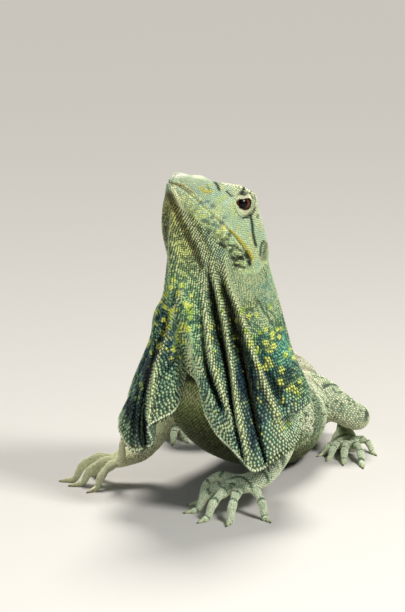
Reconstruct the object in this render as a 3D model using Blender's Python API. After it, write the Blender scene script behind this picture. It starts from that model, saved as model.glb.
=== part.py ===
"""A frilled lizard as a still, life-size model: head raised, frill folded down over the shoulders.

Lengths inside the script are in millimetres and become metres when a mesh is made. +Z is up, the
animal faces -Y, and its left side is towards +X. The head is described in a frame of its own:
back from the snout tip, towards the animal's left, and up.
"""

import math

import bmesh
import bpy
import numpy as np

MM = 0.001
GAP = 0.3

# Places of the main joints of the skeleton
SNOUT_TIP = (-9.8, -16.0, 113.2)
HEAD_YAW, HEAD_PITCH, HEAD_ROLL = 31.4, 38.7, 9.0
HEAD_SIZE = 1.05

# Head: stations along its length, and the outline of each half section there
HEAD_BACK = (0.0, 2.0, 5.0, 9.0, 14.0, 19.0, 23.0, 27.0, 32.0, 38.0, 44.0, 48.0, 51.0)
CROWN_UP = (2.4, 3.6, 5.0, 6.9, 9.1, 11.3, 12.3, 12.7, 12.6, 12.2, 11.4, 10.0, 8.0)
CANTHUS_LEFT = (0.9, 1.6, 2.4, 3.6, 5.4, 7.6, 9.0, 9.8, 10.0, 9.6, 8.4, 7.2, 5.6)
CANTHUS_UP = (2.1, 3.1, 4.4, 6.4, 8.9, 11.4, 13.3, 13.8, 12.3, 10.8, 9.5, 8.2, 6.0)
FACE_LEFT = (1.1, 2.2, 3.8, 5.8, 7.8, 9.6, 10.6, 11.2, 12.0, 12.6, 12.4, 11.0, 8.4)
FACE_UP = (0.6, 1.5, 2.4, 3.4, 4.6, 5.6, 6.2, 5.8, 5.2, 4.6, 4.0, 3.2, 2.0)
LIP_LEFT = (0.8, 1.9, 3.6, 6.0, 8.6, 10.6, 11.7, 12.4, 12.9, 13.1, 12.6, 11.0, 8.2)
LIP_UP = (-1.0, -0.6, -0.3, -0.6, -1.1, -1.4, -1.5, -1.7, -2.0, -2.6, -3.0, -3.0, -3.0)
JAW_LEFT = (0.7, 1.5, 2.9, 5.0, 7.5, 9.5, 10.8, 11.5, 11.8, 11.8, 11.0, 9.4, 7.2)
JAW_UP = (-1.9, -2.6, -3.6, -4.7, -5.7, -6.5, -7.0, -7.3, -7.7, -8.3, -8.4, -8.0, -7.0)
THROAT_UP = (-2.2, -3.3, -4.6, -5.9, -7.1, -8.2, -9.0, -9.8, -10.8, -11.8, -12.4, -12.0, -10.0)
MOUTH_CORNER = 37.5
HEAD_RINGS, JAW_RINGS = 20, 15

# Eyes, lids, nostrils and ears, in the head's frame
EYE_PLACE, EYE_RADIUS = (25.0, 8.0, 9.2), 3.2
LID_RING, LID_THICKNESS, LID_SQUASH, LID_OUT = 2.9, 1.1, 0.80, 2.35
NOSTRIL_PLACE, NOSTRIL_RING, NOSTRIL_PIT = (8.2, 4.7, 5.4), 0.95, 0.75
EAR_PLACE, EAR_RADIUS, EAR_DEPTH = (42.5, 12.2, 2.0), 2.4, 0.9

# Neck, trunk and tail base: x, y, z, heading, half width, up to the back, down to the belly
SPINE = (
    (6.5, 10.5, 88.0, 31.0, 7.6, 7.0, 6.0),
    (11.5, 17.0, 78.0, 30.0, 9.2, 8.5, 7.5),
    (11.0, 19.5, 66.5, 24.0, 10.6, 9.8, 9.6),
    (8.5, 22.5, 54.0, 18.0, 14.0, 12.0, 13.0),
    (8.0, 32.0, 40.5, 14.0, 17.0, 14.0, 15.5),
    (15.0, 49.0, 26.5, 16.0, 19.0, 14.5, 17.5),
    (22.0, 68.0, 19.4, 16.0, 20.5, 14.5, 18.9),
    (28.0, 89.0, 16.9, 15.0, 18.0, 14.0, 17.5),
    (31.5, 107.0, 14.7, 13.0, 14.5, 13.0, 15.3),
    (35.5, 126.0, 11.0, 10.0, 11.0, 10.5, 11.6),
)
NECK_END, TORSO_END = 3.25, 8.55
NECK_RINGS, TORSO_RINGS, BODY_SIDES = 10, 20, 24

# Tail: length, radius along it, and how its heading sways
TAIL_LENGTH = 372.0
TAIL_AT = (0.0, 0.05, 0.13, 0.3, 0.5, 0.75, 1.0)
TAIL_RADIUS = (12.2, 10.0, 7.8, 5.7, 3.9, 2.2, 0.7)
TAIL_TURN_AT = (0.0, 0.12, 0.3, 0.5, 0.72, 1.0)
TAIL_TURN = (10.0, 4.0, -10.0, -14.0, 4.0, 14.0)
TAIL_CUTS = (0.0, 0.17, 0.38, 0.66, 1.0)
TAIL_STEPS, TAIL_SIDES = 40, 12
FLOOR_SINK, PAD_RISE = 0.35, 0.05

# Limbs: x, y, z, half width, half height from the body outwards
LEFT_ARM = (
    (12.0, 30.0, 43.0, 7.0, 7.5),
    (19.0, 27.5, 36.5, 6.6, 7.0),
    (25.5, 28.0, 27.5, 5.4, 5.6),
    (27.5, 27.0, 21.5, 4.7, 4.9),
    (25.0, 20.5, 15.5, 4.3, 4.3),
    (21.5, 13.5, 11.2, 3.3, 3.0),
    (18.0, 9.0, 10.0, 4.4, 2.9),
    (12.5, 4.5, 9.6, 5.4, 2.6),
    (10.5, 2.5, 9.0, 4.6, 1.9),
)
RIGHT_ARM = (
    (2.0, 36.0, 43.0, 7.0, 7.5),
    (-7.0, 38.0, 37.0, 6.6, 7.0),
    (-12.5, 44.0, 28.5, 5.4, 5.6),
    (-15.0, 48.0, 21.0, 4.7, 4.9),
    (-17.5, 47.5, 15.5, 4.5, 4.5),
    (-21.0, 45.5, 11.0, 3.5, 3.2),
    (-24.5, 44.5, 9.8, 4.6, 3.0),
    (-29.0, 43.5, 8.6, 5.2, 2.6),
    (-31.0, 43.2, 8.0, 4.4, 1.9),
)
ARM_ELBOW, ARM_WRIST = 3.0, 5.0
LEFT_LEG = (
    (30.0, 104.0, 17.0, 9.5, 10.0),
    (37.5, 98.5, 18.5, 9.2, 9.8),
    (43.5, 90.5, 19.0, 7.6, 8.2),
    (49.0, 83.5, 18.2, 5.6, 5.8),
    (54.8, 84.0, 14.9, 5.0, 5.0),
    (56.5, 91.5, 12.8, 4.8, 4.8),
    (55.5, 101.0, 11.0, 4.4, 4.4),
    (53.8, 108.5, 8.6, 3.0, 3.0),
    (53.2, 107.5, 4.0, 3.2, 2.5),
    (52.8, 101.5, 2.6, 4.6, 2.6),
    (52.5, 95.0, 2.3, 5.2, 2.6),
    (52.0, 89.0, 1.9, 4.8, 2.1),
)
RIGHT_LEG = (
    (22.0, 110.0, 17.0, 9.5, 10.0),
    (12.5, 112.0, 18.0, 9.2, 9.8),
    (4.5, 108.5, 18.6, 7.6, 8.2),
    (-2.5, 104.5, 17.8, 5.6, 5.8),
    (-8.2, 106.0, 14.6, 5.0, 5.0),
    (-9.8, 113.0, 12.6, 4.8, 4.8),
    (-7.6, 122.0, 11.0, 4.4, 4.4),
    (-3.8, 130.4, 8.6, 3.0, 3.0),
    (-3.4, 130.0, 4.0, 3.2, 2.5),
    (-5.0, 124.8, 2.6, 4.6, 2.6),
    (-7.2, 119.5, 2.3, 5.2, 2.6),
    (-9.5, 114.5, 1.9, 4.8, 2.1),
)
LEG_KNEE, LEG_ANKLE = 3.5, 7.0
LIMB_RINGS_PER_STATION, LIMB_SIDES = 2, 12

# Digits: root, knuckle and tip, as x, y, z, with the radius at the root
LEFT_HAND = (
    ((14.0, 9.0, 10.0), (4.0, 12.5, 10.0), (-2.5, 13.5, 2.6), 1.9),
    ((12.0, 5.0, 9.6), (4.0, 5.5, 8.2), (-3.6, 4.0, 1.9), 2.0),
    ((11.0, 4.0, 9.4), (5.2, -2.0, 7.2), (0.2, -7.0, 1.8), 2.0),
    ((12.5, 4.0, 9.4), (10.4, -4.0, 7.2), (8.4, -10.5, 1.8), 2.0),
    ((15.0, 6.0, 9.4), (18.4, -0.5, 7.2), (21.0, -6.0, 1.8), 1.9),
)
RIGHT_HAND = (
    ((-28.0, 41.0, 8.6), (-27.6, 35.0, 11.5), (-27.4, 32.0, 17.5), 1.9),
    ((-29.0, 41.5, 8.4), (-33.0, 36.5, 7.6), (-37.0, 32.0, 1.9), 1.9),
    ((-29.0, 43.0, 8.4), (-36.0, 41.0, 9.0), (-42.5, 39.5, 2.0), 2.0),
    ((-29.0, 44.0, 8.4), (-37.5, 45.0, 9.6), (-46.5, 45.5, 2.2), 2.0),
    ((-29.0, 45.5, 8.4), (-34.0, 50.0, 7.2), (-38.5, 54.0, 1.9), 1.9),
)
LEFT_FOOT = (
    ((52.0, 92.0, 3.2), (47.0, 86.5, 3.6), (43.5, 83.5, 1.4), 1.8),
    ((52.0, 91.0, 3.2), (48.0, 82.5, 3.8), (45.5, 77.0, 1.4), 1.8),
    ((52.5, 90.0, 3.2), (51.5, 80.0, 4.0), (50.5, 71.0, 1.4), 1.9),
    ((53.0, 90.0, 3.2), (56.5, 78.0, 4.2), (57.0, 66.5, 1.4), 1.9),
    ((54.0, 97.0, 3.2), (60.0, 92.0, 3.6), (62.5, 85.5, 1.4), 1.7),
)
RIGHT_FOOT = (
    ((-9.0, 117.0, 3.2), (-7.5, 110.0, 3.6), (-6.0, 105.0, 1.4), 1.8),
    ((-9.0, 116.0, 3.2), (-10.5, 107.5, 3.8), (-11.0, 101.5, 1.4), 1.8),
    ((-9.5, 115.5, 3.2), (-15.0, 107.0, 4.0), (-19.5, 99.0, 1.4), 1.9),
    ((-10.0, 115.5, 3.2), (-19.5, 108.5, 4.2), (-27.5, 99.5, 1.4), 1.9),
    ((-8.5, 122.5, 3.2), (-16.0, 121.0, 3.6), (-22.5, 118.0, 1.4), 1.7),
)
DIGIT_RINGS, DIGIT_SIDES = 6, 7
CLAW_LENGTH, CLAW_RADIUS, CLAW_DROP = 3.4, 0.95, 0.55

# Frill: its root runs over the head, in the head's frame, from under the chin to the nape
FRILL_ROOT = (
    (5.0, 0.0, -4.2),
    (11.0, 2.6, -5.6),
    (18.0, 5.0, -6.6),
    (25.0, 7.0, -7.4),
    (32.0, 8.8, -7.8),
    (38.0, 10.4, -6.6),
    (43.5, 11.4, -3.0),
    (46.5, 11.0, 2.0),
    (47.5, 8.0, 6.5),
    (48.0, 4.5, 9.0),
)
# The frill's hem from the notch at the throat to the nape: where it hangs (x, y, z), how late the
# sheet flares out to it, where along the root it starts, and how far it bulges over a ledge above
LEFT_HEM = (
    (-5.0, 2.0, 46.0, 2.2, 0.0, 0.0),
    (-2.0, -0.4, 44.8, 2.3, 0.4, 0.0),
    (0.5, -3.0, 40.6, 2.3, 0.8, 0.0),
    (2.4, -4.8, 34.8, 2.1, 1.15, 0.0),
    (5.6, -6.3, 29.0, 1.8, 1.5, 0.0),
    (9.6, -7.2, 24.2, 1.4, 1.8, 0.0),
    (13.2, -7.4, 20.2, 1.1, 2.05, 0.0),
    (16.4, -7.0, 17.0, 1.0, 2.3, 0.0),
    (20.2, -5.6, 18.0, 0.95, 2.6, 0.0),
    (23.6, -3.8, 19.8, 0.9, 3.0, 0.0),
    (26.4, -1.2, 21.3, 0.95, 3.35, 1.2),
    (29.0, 3.5, 22.6, 1.0, 3.8, 2.8),
    (30.6, 9.0, 24.6, 1.0, 4.3, 4.0),
    (31.2, 15.5, 26.2, 1.0, 4.8, 4.2),
    (31.8, 23.0, 28.5, 1.0, 5.3, 3.6),
    (32.4, 31.0, 32.0, 1.0, 5.9, 2.4),
    (32.0, 39.5, 36.0, 1.0, 6.5, 1.0),
    (30.0, 48.0, 40.5, 1.0, 7.2, 0.0),
    (24.0, 56.0, 46.0, 1.0, 8.0, 0.0),
    (14.5, 60.5, 50.5, 1.0, 9.0, 0.0),
)
RIGHT_HEM = (
    (-5.0, 2.0, 46.0, 2.2, 0.0, 0.0),
    (-7.2, 1.0, 42.6, 2.1, 0.45, 0.0),
    (-9.6, -0.6, 38.6, 1.9, 0.9, 0.0),
    (-12.8, -2.6, 35.8, 1.7, 1.3, 0.0),
    (-16.2, -3.6, 33.2, 1.5, 1.65, 0.0),
    (-18.8, -3.0, 29.4, 1.4, 2.0, 0.0),
    (-20.2, -1.2, 24.6, 1.4, 2.4, 0.0),
    (-21.6, 0.8, 20.8, 1.4, 2.8, 0.0),
    (-23.8, 2.6, 21.8, 1.4, 3.2, 0.0),
    (-26.2, 5.4, 23.8, 1.4, 3.6, 0.0),
    (-27.6, 9.8, 26.6, 1.35, 4.0, 0.0),
    (-27.6, 15.5, 28.4, 1.3, 4.5, 0.0),
    (-26.8, 23.0, 30.8, 1.25, 5.0, 0.0),
    (-25.6, 31.0, 33.5, 1.15, 5.6, 0.0),
    (-23.0, 39.5, 37.0, 1.0, 6.3, 0.0),
    (-18.6, 48.0, 41.0, 1.0, 7.1, 0.0),
    (-10.5, 56.0, 45.5, 1.0, 8.0, 0.0),
    (-1.5, 60.5, 50.0, 1.0, 9.0, 0.0),
)
# Grooves between the folds: place along the hem table, how far that leans towards the nape on the
# way down, half width, depth, and the share of the length where they start, are deepest and die out
LEFT_GROOVES = (
    (3.4, 1.6, 0.34, 2.6, 0.2, 0.62, 0.92),
    (6.1, 0.3, 0.42, 3.8, 0.15, 0.7, 1.7),
    (8.1, 0.2, 0.46, 3.8, 0.2, 0.7, 1.7),
    (15.4, 0.0, 0.6, 2.0, 0.3, 0.8, 1.6),
    (17.6, 0.0, 0.6, 1.6, 0.3, 0.8, 1.6),
)
RIGHT_GROOVES = (
    (6.0, 0.4, 0.5, 3.2, 0.2, 0.75, 1.7),
    (8.3, 0.3, 0.4, 2.6, 0.25, 0.75, 1.6),
    (12.5, 0.0, 0.5, 2.0, 0.3, 0.8, 1.6),
    (14.5, 0.0, 0.6, 1.8, 0.3, 0.8, 1.6),
    (16.2, 0.0, 0.5, 1.4, 0.3, 0.8, 1.6),
)
FRILL_AXIS, FRILL_BULGE, FRILL_THICK = (6.0, 24.0), 1.5, 1.2
FRILL_LEVELS = (0.0, 0.09, 0.19, 0.29, 0.4, 0.51, 0.61, 0.7, 0.77, 0.81, 0.85, 0.92, 1.0)
LEDGE_AT = (0.0, 0.35, 0.81, 0.85, 0.92, 1.0)
LEDGE_OUT = (0.0, 0.0, 1.0, 0.0, -0.2, 0.0)
COLUMN_STEP, GROOVE_STEPS = 0.5, (-1.6, -0.8, 0.0, 0.8, 1.6)


def smooth(xs, ys, x):
    """Monotone cubic through a small table, so that nothing overshoots between its values."""
    xs, ys, x = (np.asarray(v, float) for v in (xs, ys, x))
    step, rise = np.diff(xs), np.diff(ys)
    slope = rise / step
    tangent = np.concatenate((slope[:1], np.zeros(len(xs) - 2), slope[-1:]))
    both = slope[:-1] * slope[1:]
    steady = both > 0
    tangent[1:-1][steady] = 2.0 * both[steady] / (slope[:-1] + slope[1:])[steady]
    k = np.clip(np.searchsorted(xs, x, side="right") - 1, 0, len(xs) - 2)
    h = step[k]
    t = (np.clip(x, xs[0], xs[-1]) - xs[k]) / h
    start = (1 + 2 * t) * (1 - t) ** 2 * ys[k] + t * (1 - t) ** 2 * h * tangent[k]
    end = t * t * (3 - 2 * t) * ys[k + 1] + t * t * (t - 1) * h * tangent[k + 1]
    return start + end


def spline(rows, at):
    """Catmull-Rom curve through rows of numbers, read at fractional row numbers."""
    rows, at = np.asarray(rows, float), np.asarray(at, float)
    padded = np.vstack((2 * rows[0] - rows[1], rows, 2 * rows[-1] - rows[-2]))
    k = np.clip(np.floor(at).astype(int), 0, len(rows) - 2)
    t = (at - k)[:, None]
    a, b, c, d = (padded[k + i] for i in range(4))
    return b + 0.5 * (c - a) * t + (a - 2.5 * b + 2 * c - 0.5 * d) * t**2 + 0.5 * (3 * b - a - 3 * c + d) * t**3


def unit(v):
    """Rows of v at length one."""
    return v / np.linalg.norm(v, axis=-1, keepdims=True)


def head_axes():
    """Back, left and up of the head, as rows."""
    yaw, pitch, roll = (math.radians(a) for a in (HEAD_YAW, HEAD_PITCH, HEAD_ROLL))
    flat = math.cos(pitch)
    forward = np.array((-math.sin(yaw) * flat, -math.cos(yaw) * flat, math.sin(pitch)))
    level_left = np.array((math.cos(yaw), -math.sin(yaw), 0.0))
    level_up = np.cross(forward, level_left)
    left = math.cos(roll) * level_left - math.sin(roll) * level_up
    return np.array((-forward, left, np.cross(forward, left)))


def from_head(points):
    """Points of the head's frame, in the part's."""
    return np.array(SNOUT_TIP) + HEAD_SIZE * np.asarray(points, float) @ head_axes()


def material(name, colour, roughness):
    """A plain surface of that colour."""
    made = bpy.data.materials.get(name) or bpy.data.materials.new(name)
    made.use_nodes = True
    shader = made.node_tree.nodes["Principled BSDF"]
    shader.inputs["Base Color"].default_value = (*colour, 1.0)
    shader.inputs["Roughness"].default_value = roughness
    return made


def solid(name, points, faces, surface=None):
    """A mesh object from points in millimetres."""
    mesh = bpy.data.meshes.new(name)
    mesh.from_pydata((np.asarray(points) * MM).tolist(), [], faces)
    mesh.validate()
    shape = bmesh.new()
    shape.from_mesh(mesh)
    bmesh.ops.recalc_face_normals(shape, faces=shape.faces)
    if shape.calc_volume(signed=True) < 0:
        bmesh.ops.reverse_faces(shape, faces=shape.faces)
    bmesh.ops.triangulate(shape, faces=[f for f in shape.faces if len(f.verts) > 4])
    shape.to_mesh(mesh)
    shape.free()
    if surface:
        mesh.materials.append(surface)
    made = bpy.data.objects.new(name, mesh)
    bpy.context.scene.collection.objects.link(made)
    return made


def skin_over(rings):
    """Faces that join closed rings of equal length and cap both ends."""
    count, sides = len(rings), len(rings[0])
    faces = []
    for i in range(count - 1):
        for j in range(sides):
            k = (j + 1) % sides
            faces.append((i * sides + j, i * sides + k, (i + 1) * sides + k, (i + 1) * sides + j))
    faces.append(tuple(range(sides)))
    faces.append(tuple(reversed(range((count - 1) * sides, count * sides))))
    return faces


def loft(name, rings, surface=None, floor=False):
    """A closed tube over rings of points. With floor, what would sink below it is flattened."""
    points = np.concatenate(rings)
    if floor:
        points[:, 2] = np.maximum(points[:, 2], 0.0)
    return solid(name, points, skin_over(rings), surface)


def join(name, pieces, surface):
    """One closed body from overlapping pieces, by a Boolean union on a collection."""
    body, others = pieces[0], pieces[1:]
    body.name = body.data.name = name
    group = bpy.data.collections.new(name + "_pieces")
    bpy.context.scene.collection.children.link(group)
    for piece in others:
        bpy.context.scene.collection.objects.unlink(piece)
        group.objects.link(piece)
    union = body.modifiers.new("union", "BOOLEAN")
    union.operation, union.operand_type = "UNION", "COLLECTION"
    union.collection, union.solver = group, "MANIFOLD"
    apply_modifiers(body)
    for piece in others:
        bpy.data.objects.remove(piece)
    bpy.data.collections.remove(group)
    body.data.materials.clear()
    body.data.materials.append(surface)
    return body


def cut(body, cutters):
    """Takes closed pieces away from a body, one after another, and removes them."""
    for cutter in cutters:
        away = body.modifiers.new("cut", "BOOLEAN")
        away.operation, away.object, away.solver = "DIFFERENCE", cutter, "MANIFOLD"
        apply_modifiers(body)
        bpy.data.objects.remove(cutter)
    keep_largest(body)
    return body


def apply_modifiers(body):
    """Replaces the object's mesh with what its modifiers make of it."""
    bpy.context.view_layer.update()
    graph = bpy.context.evaluated_depsgraph_get()
    done = bpy.data.meshes.new_from_object(body.evaluated_get(graph))
    body.modifiers.clear()
    body.data = done
    done.name = body.name


def keep_largest(body):
    """Leaves only the largest of the separate surfaces of a mesh."""
    shape = bmesh.new()
    shape.from_mesh(body.data)
    bmesh.ops.remove_doubles(shape, verts=shape.verts, dist=5e-6)
    left, groups = set(shape.verts), []
    while left:
        edge_of, group = [left.pop()], set()
        while edge_of:
            vert = edge_of.pop()
            group.add(vert)
            for other in (e.other_vert(vert) for e in vert.link_edges):
                if other in left:
                    left.remove(other)
                    edge_of.append(other)
        groups.append(group)
    groups.sort(key=len)
    bmesh.ops.delete(shape, geom=[v for g in groups[:-1] for v in g], context="VERTS")
    shape.to_mesh(body.data)
    shape.free()


def ball(name, centre, radius, u=14, v=9):
    """A closed ball, or an ellipsoid where radius has three numbers."""
    shape = bmesh.new()
    bmesh.ops.create_uvsphere(shape, u_segments=u, v_segments=v, radius=1.0)
    points = np.array([p.co for p in shape.verts]) * radius + np.asarray(centre)
    faces = [[p.index for p in f.verts] for f in shape.faces]
    shape.free()
    return solid(name, points, faces)


def head_sections(stations, part, grow):
    """Half sections of the head, grown by a margin: the whole, or the jaw under the mouth line."""
    tables = (CROWN_UP, CANTHUS_LEFT, CANTHUS_UP, FACE_LEFT, FACE_UP, LIP_LEFT, LIP_UP, JAW_LEFT, JAW_UP, THROAT_UP)
    crown, canthus, canthus_up, face, face_up, lip, mouth, jaw, jaw_up, throat = (
        smooth(HEAD_BACK, table, stations) for table in tables
    )
    zero, under = np.zeros_like(stations), mouth - GAP / 2
    below = [((lip + jaw) / 2 + grow, (mouth + jaw_up) / 2 - 0.4), (jaw + grow * 0.8, jaw_up - grow * 0.6)]
    below += [(jaw * 0.55, (jaw_up + throat) / 2 - grow), (zero, throat - grow)]
    if part == "jaw":
        return np.array([(zero, under), (lip * 0.5, under), (lip - 0.3, under), (lip, under - 0.6)] + below)
    above = [(zero, crown + grow), (canthus * 0.55, (crown + canthus_up) / 2 + grow)]
    above += [(canthus + grow * 0.6, canthus_up + grow * 0.8), (face + grow, face_up), (lip + grow, mouth + 1.0)]
    return np.array(above + [(lip - 0.2 + grow, mouth)] + below)


def head_rings(part="whole", grow=0.0):
    """Closed rings of the head, or of the jaw as far as the corner of the mouth."""
    jaw = part == "jaw"
    end, count = (MOUTH_CORNER - GAP / 2, JAW_RINGS) if jaw else (HEAD_BACK[-1], HEAD_RINGS)
    stations = end * np.linspace(0.0, 1.0, count) ** 1.25
    corners = head_sections(stations, part, grow)
    rings = []
    for i, back in enumerate(stations):
        half = corners[:, :, i]
        rim = np.vstack((half, half[-2:0:-1] * (-1, 1)))
        rings.append(from_head(np.column_stack((np.full(len(rim), back), rim))))
    axis = head_axes()[0]
    middle = rings[0].mean(axis=0)
    rings.insert(0, middle + (rings[0] - middle) * 0.55 - axis * (grow + 0.9))
    rings[-1] = rings[-1] + axis * grow
    return rings


def mouth_block():
    """What the jaw leaves of the head: a block under the mouth line, up to the mouth's corner."""
    rings = []
    for back in np.linspace(-6.0, MOUTH_CORNER + GAP / 2, 24):
        top = float(smooth(HEAD_BACK, LIP_UP, max(back, 0.0))) + GAP / 2
        rings.append(from_head([(back, 24.0, top), (back, -24.0, top), (back, -24.0, -24.0), (back, 24.0, -24.0)]))
    return loft("under_mouth", rings)


def body_rings(start, end, count, grow=0.0, sides=BODY_SIDES):
    """Rings round the spine between two of its stations, flattened where they meet the floor."""
    at = np.linspace(start, end, count)
    rows = spline(SPINE, at)
    ahead = unit(spline(SPINE, at - 0.05)[:, :3] - spline(SPINE, at + 0.05)[:, :3])
    yaw = np.radians(rows[:, 3])
    left = unit(np.column_stack((np.cos(yaw), -np.sin(yaw), np.zeros(count))))
    up = unit(np.cross(ahead, left))
    angle = np.arange(sides) * 2 * math.pi / sides + math.pi / sides
    rings = []
    for i in range(count):
        across = np.sign(np.cos(angle)) * np.abs(np.cos(angle)) ** 0.92 * (rows[i, 4] + grow)
        high = np.where(np.sin(angle) > 0, rows[i, 5] + grow, rows[i, 6] + grow) * np.sin(angle)
        ring = rows[i, :3] + across[:, None] * left[i] + high[:, None] * up[i]
        rings.append(ring)
    return rings


def tail_rings(start, end):
    """Rings of the tail between two shares of its length, resting on the floor."""
    share = np.linspace(0.0, 1.0, TAIL_STEPS * 5 + 1)
    turn = np.radians(smooth(TAIL_TURN_AT, TAIL_TURN, share))
    step = TAIL_LENGTH / (len(share) - 1)
    along = np.cumsum(np.column_stack((np.sin(turn), np.cos(turn))) * step, axis=0)
    first = spline(SPINE, [TORSO_END + GAP / 18.0])[0]
    count = max(4, round((end - start) * TAIL_STEPS))
    at = np.linspace(start, end, count)
    radius = smooth(TAIL_AT, TAIL_RADIUS, at)
    lift = smooth((0.0, 0.05, 1.0), (first[2] - radius[0] if start == 0 else 0.0, 0.0, 0.0), at) if start == 0 else 0
    x = first[0] + np.interp(at, share, along[:, 0])
    y = first[1] + np.interp(at, share, along[:, 1])
    heading = np.interp(at, share, turn)
    angle = np.arange(TAIL_SIDES) * 2 * math.pi / TAIL_SIDES + math.pi / TAIL_SIDES
    rings = []
    for i in range(count):
        left = np.array((math.cos(heading[i]), -math.sin(heading[i]), 0.0))
        height = radius[i] - FLOOR_SINK * min(1.0, radius[i] / 3) + (lift[i] if start == 0 else 0.0)
        centre = np.array((x[i], y[i], height))
        rings.append(centre + radius[i] * (np.cos(angle)[:, None] * left + np.sin(angle)[:, None] * (0, 0, 1)))
    return rings


def limb_rings(rows, start, end, grow=0.0, sides=LIMB_SIDES):
    """Rings along a limb between two of its stations, turned so that the last lies level."""
    fine = np.arange(0.0, len(rows) - 1 + 1e-9, 0.05)
    path = spline(rows, fine)
    ahead = unit(np.gradient(path[:, :3], axis=0))
    side = np.empty_like(ahead)
    side[-1] = unit(np.cross(ahead[-1], (0, 0, 1.0)))
    for i in range(len(fine) - 2, -1, -1):
        across = side[i + 1] - (side[i + 1] @ ahead[i]) * ahead[i]
        side[i] = across / np.linalg.norm(across)
    count = max(3, round((end - start) * LIMB_RINGS_PER_STATION) + 1)
    angle = np.arange(sides) * 2 * math.pi / sides + math.pi / sides
    rings = []
    for at in np.linspace(start, end, count):
        k = min(len(fine) - 1, round(at / 0.05))
        row = spline(rows, [at])[0]
        up = np.cross(side[k], ahead[k])
        offset = np.cos(angle)[:, None] * side[k] * (row[3] + grow) + np.sin(angle)[:, None] * up * (row[4] + grow)
        rings.append(row[:3] + offset)
    return rings


def share_gap(rows, at):
    """Half of the gap between two nodes, as a step along the stations of a limb or spine."""
    near = spline(rows, [max(0.0, at - 0.05), at + 0.05])[:, :3]
    return 0.1 * GAP / 2 / np.linalg.norm(near[1] - near[0])


def digit(name, root, knuckle, tip, radius):
    """A toe and its claw: a jointed tube that thins towards a hooked, tapered horn."""
    root, knuckle, tip = (np.array(p, float) for p in (root, knuckle, tip))
    if tip[2] < 4:
        tip[2] = radius * 0.6 - FLOOR_SINK
    path = spline(np.array((root, knuckle, tip)), np.linspace(0, 2, DIGIT_RINGS))
    if tip[2] < 4:
        path[-2][2] = min(path[-2][2], tip[2] + PAD_RISE)
    swell = np.array([1.0 + 0.10 * math.sin(i * math.pi) for i in np.linspace(0, 2.5, DIGIT_RINGS)])
    size = radius * np.linspace(1.0, 0.72, DIGIT_RINGS) * swell
    size[-1] *= 0.82
    rings = hoops(path, size, DIGIT_SIDES)
    toe = loft(name, rings, floor=True)
    run = tip - path[-2]
    flat = unit(np.array((run[0], run[1], 0.0)))
    reach = CLAW_LENGTH * min(1.0, radius / 1.9)
    down = np.array((0.0, 0.0, -1.0))
    hook = [tip - unit(run) * 1.2, tip + flat * reach * 0.45 + down * 0.1, tip + flat * reach * 0.85 + down * reach * CLAW_DROP]
    hook[2][2] = max(hook[2][2], 0.3)
    claw_path = spline(np.array(hook), np.linspace(0, 2, 4))
    horn = loft(name + "_claw", hoops(claw_path, CLAW_RADIUS * np.array((1.0, 0.86, 0.55, 0.12)), 5), floor=True)
    return [toe, horn]


def hoops(path, size, sides):
    """Round rings of given sizes across a path, with a side and not a corner underneath."""
    ahead = unit(np.gradient(path, axis=0))
    side = unit(np.cross(ahead, (0.02, 0.01, 1.0)))
    up = np.cross(side, ahead)
    angle = (np.arange(sides) + 0.5) * 2 * math.pi / sides - math.pi / 2
    rings = []
    for i in range(len(path)):
        rings.append(path[i] + size[i] * (np.cos(angle)[:, None] * side[i] + np.sin(angle)[:, None] * up[i]))
    return rings


def lid(side):
    """A ring of skin round the eye, flatter above and below than at its corners."""
    back, out, up = EYE_PLACE
    around = np.arange(16) * 2 * math.pi / 16
    tube = np.arange(6) * 2 * math.pi / 6
    rings = []
    for a in around:
        centre = np.array((back + LID_RING * 1.12 * math.cos(a), out + LID_OUT, up + LID_RING * LID_SQUASH * math.sin(a)))
        radial = np.array((math.cos(a), 0.0, math.sin(a)))
        across = np.array((0.0, 1.0, 0.0))
        rings.append(centre + LID_THICKNESS * (np.cos(tube)[:, None] * radial + np.sin(tube)[:, None] * across * 0.9))
    points = np.concatenate(rings) * (1, side, 1)
    faces = []
    for i in range(16):
        for j in range(6):
            k, n = (i + 1) % 16, (j + 1) % 6
            faces.append((i * 6 + j, i * 6 + n, k * 6 + n, k * 6 + j))
    return solid("lid", from_head(points), faces)


def make_head(skin, jaw_skin, eye_surface):
    """The upper head with lids, nostrils and ears, the lower jaw and the two eyes."""
    pieces = [loft("head", head_rings())]
    for side in (1, -1):
        pieces.append(lid(side))
        place = np.array(NOSTRIL_PLACE) * (1, side, 1)
        pieces.append(ball("nostril", from_head([place])[0], NOSTRIL_RING * 1.35, 8, 6))
    head = join("head", pieces, skin)
    cutters = [mouth_block()]
    for side in (1, -1):
        flip = np.array((1, side, 1))
        cutters.append(ball("socket", from_head([EYE_PLACE * flip])[0], EYE_RADIUS + GAP, 16, 10))
        cutters.append(ball("pit", from_head([(NOSTRIL_PLACE + np.array((-0.1, 0.9, 0.5))) * flip])[0], NOSTRIL_PIT, 8, 6))
        ear = (EAR_PLACE + np.array((0, EAR_RADIUS - EAR_DEPTH, 0))) * flip
        cutters.append(ball("ear", from_head([ear])[0], EAR_RADIUS, 10, 7))
    cut(head, cutters)
    jaw = loft("jaw", head_rings("jaw"), jaw_skin)
    for name, side in (("eye_left", 1), ("eye_right", -1)):
        eye = ball(name, from_head([EYE_PLACE * np.array((1, side, 1))])[0], EYE_RADIUS, 16, 10)
        eye.data.materials.append(eye_surface)
    return head, jaw


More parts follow.
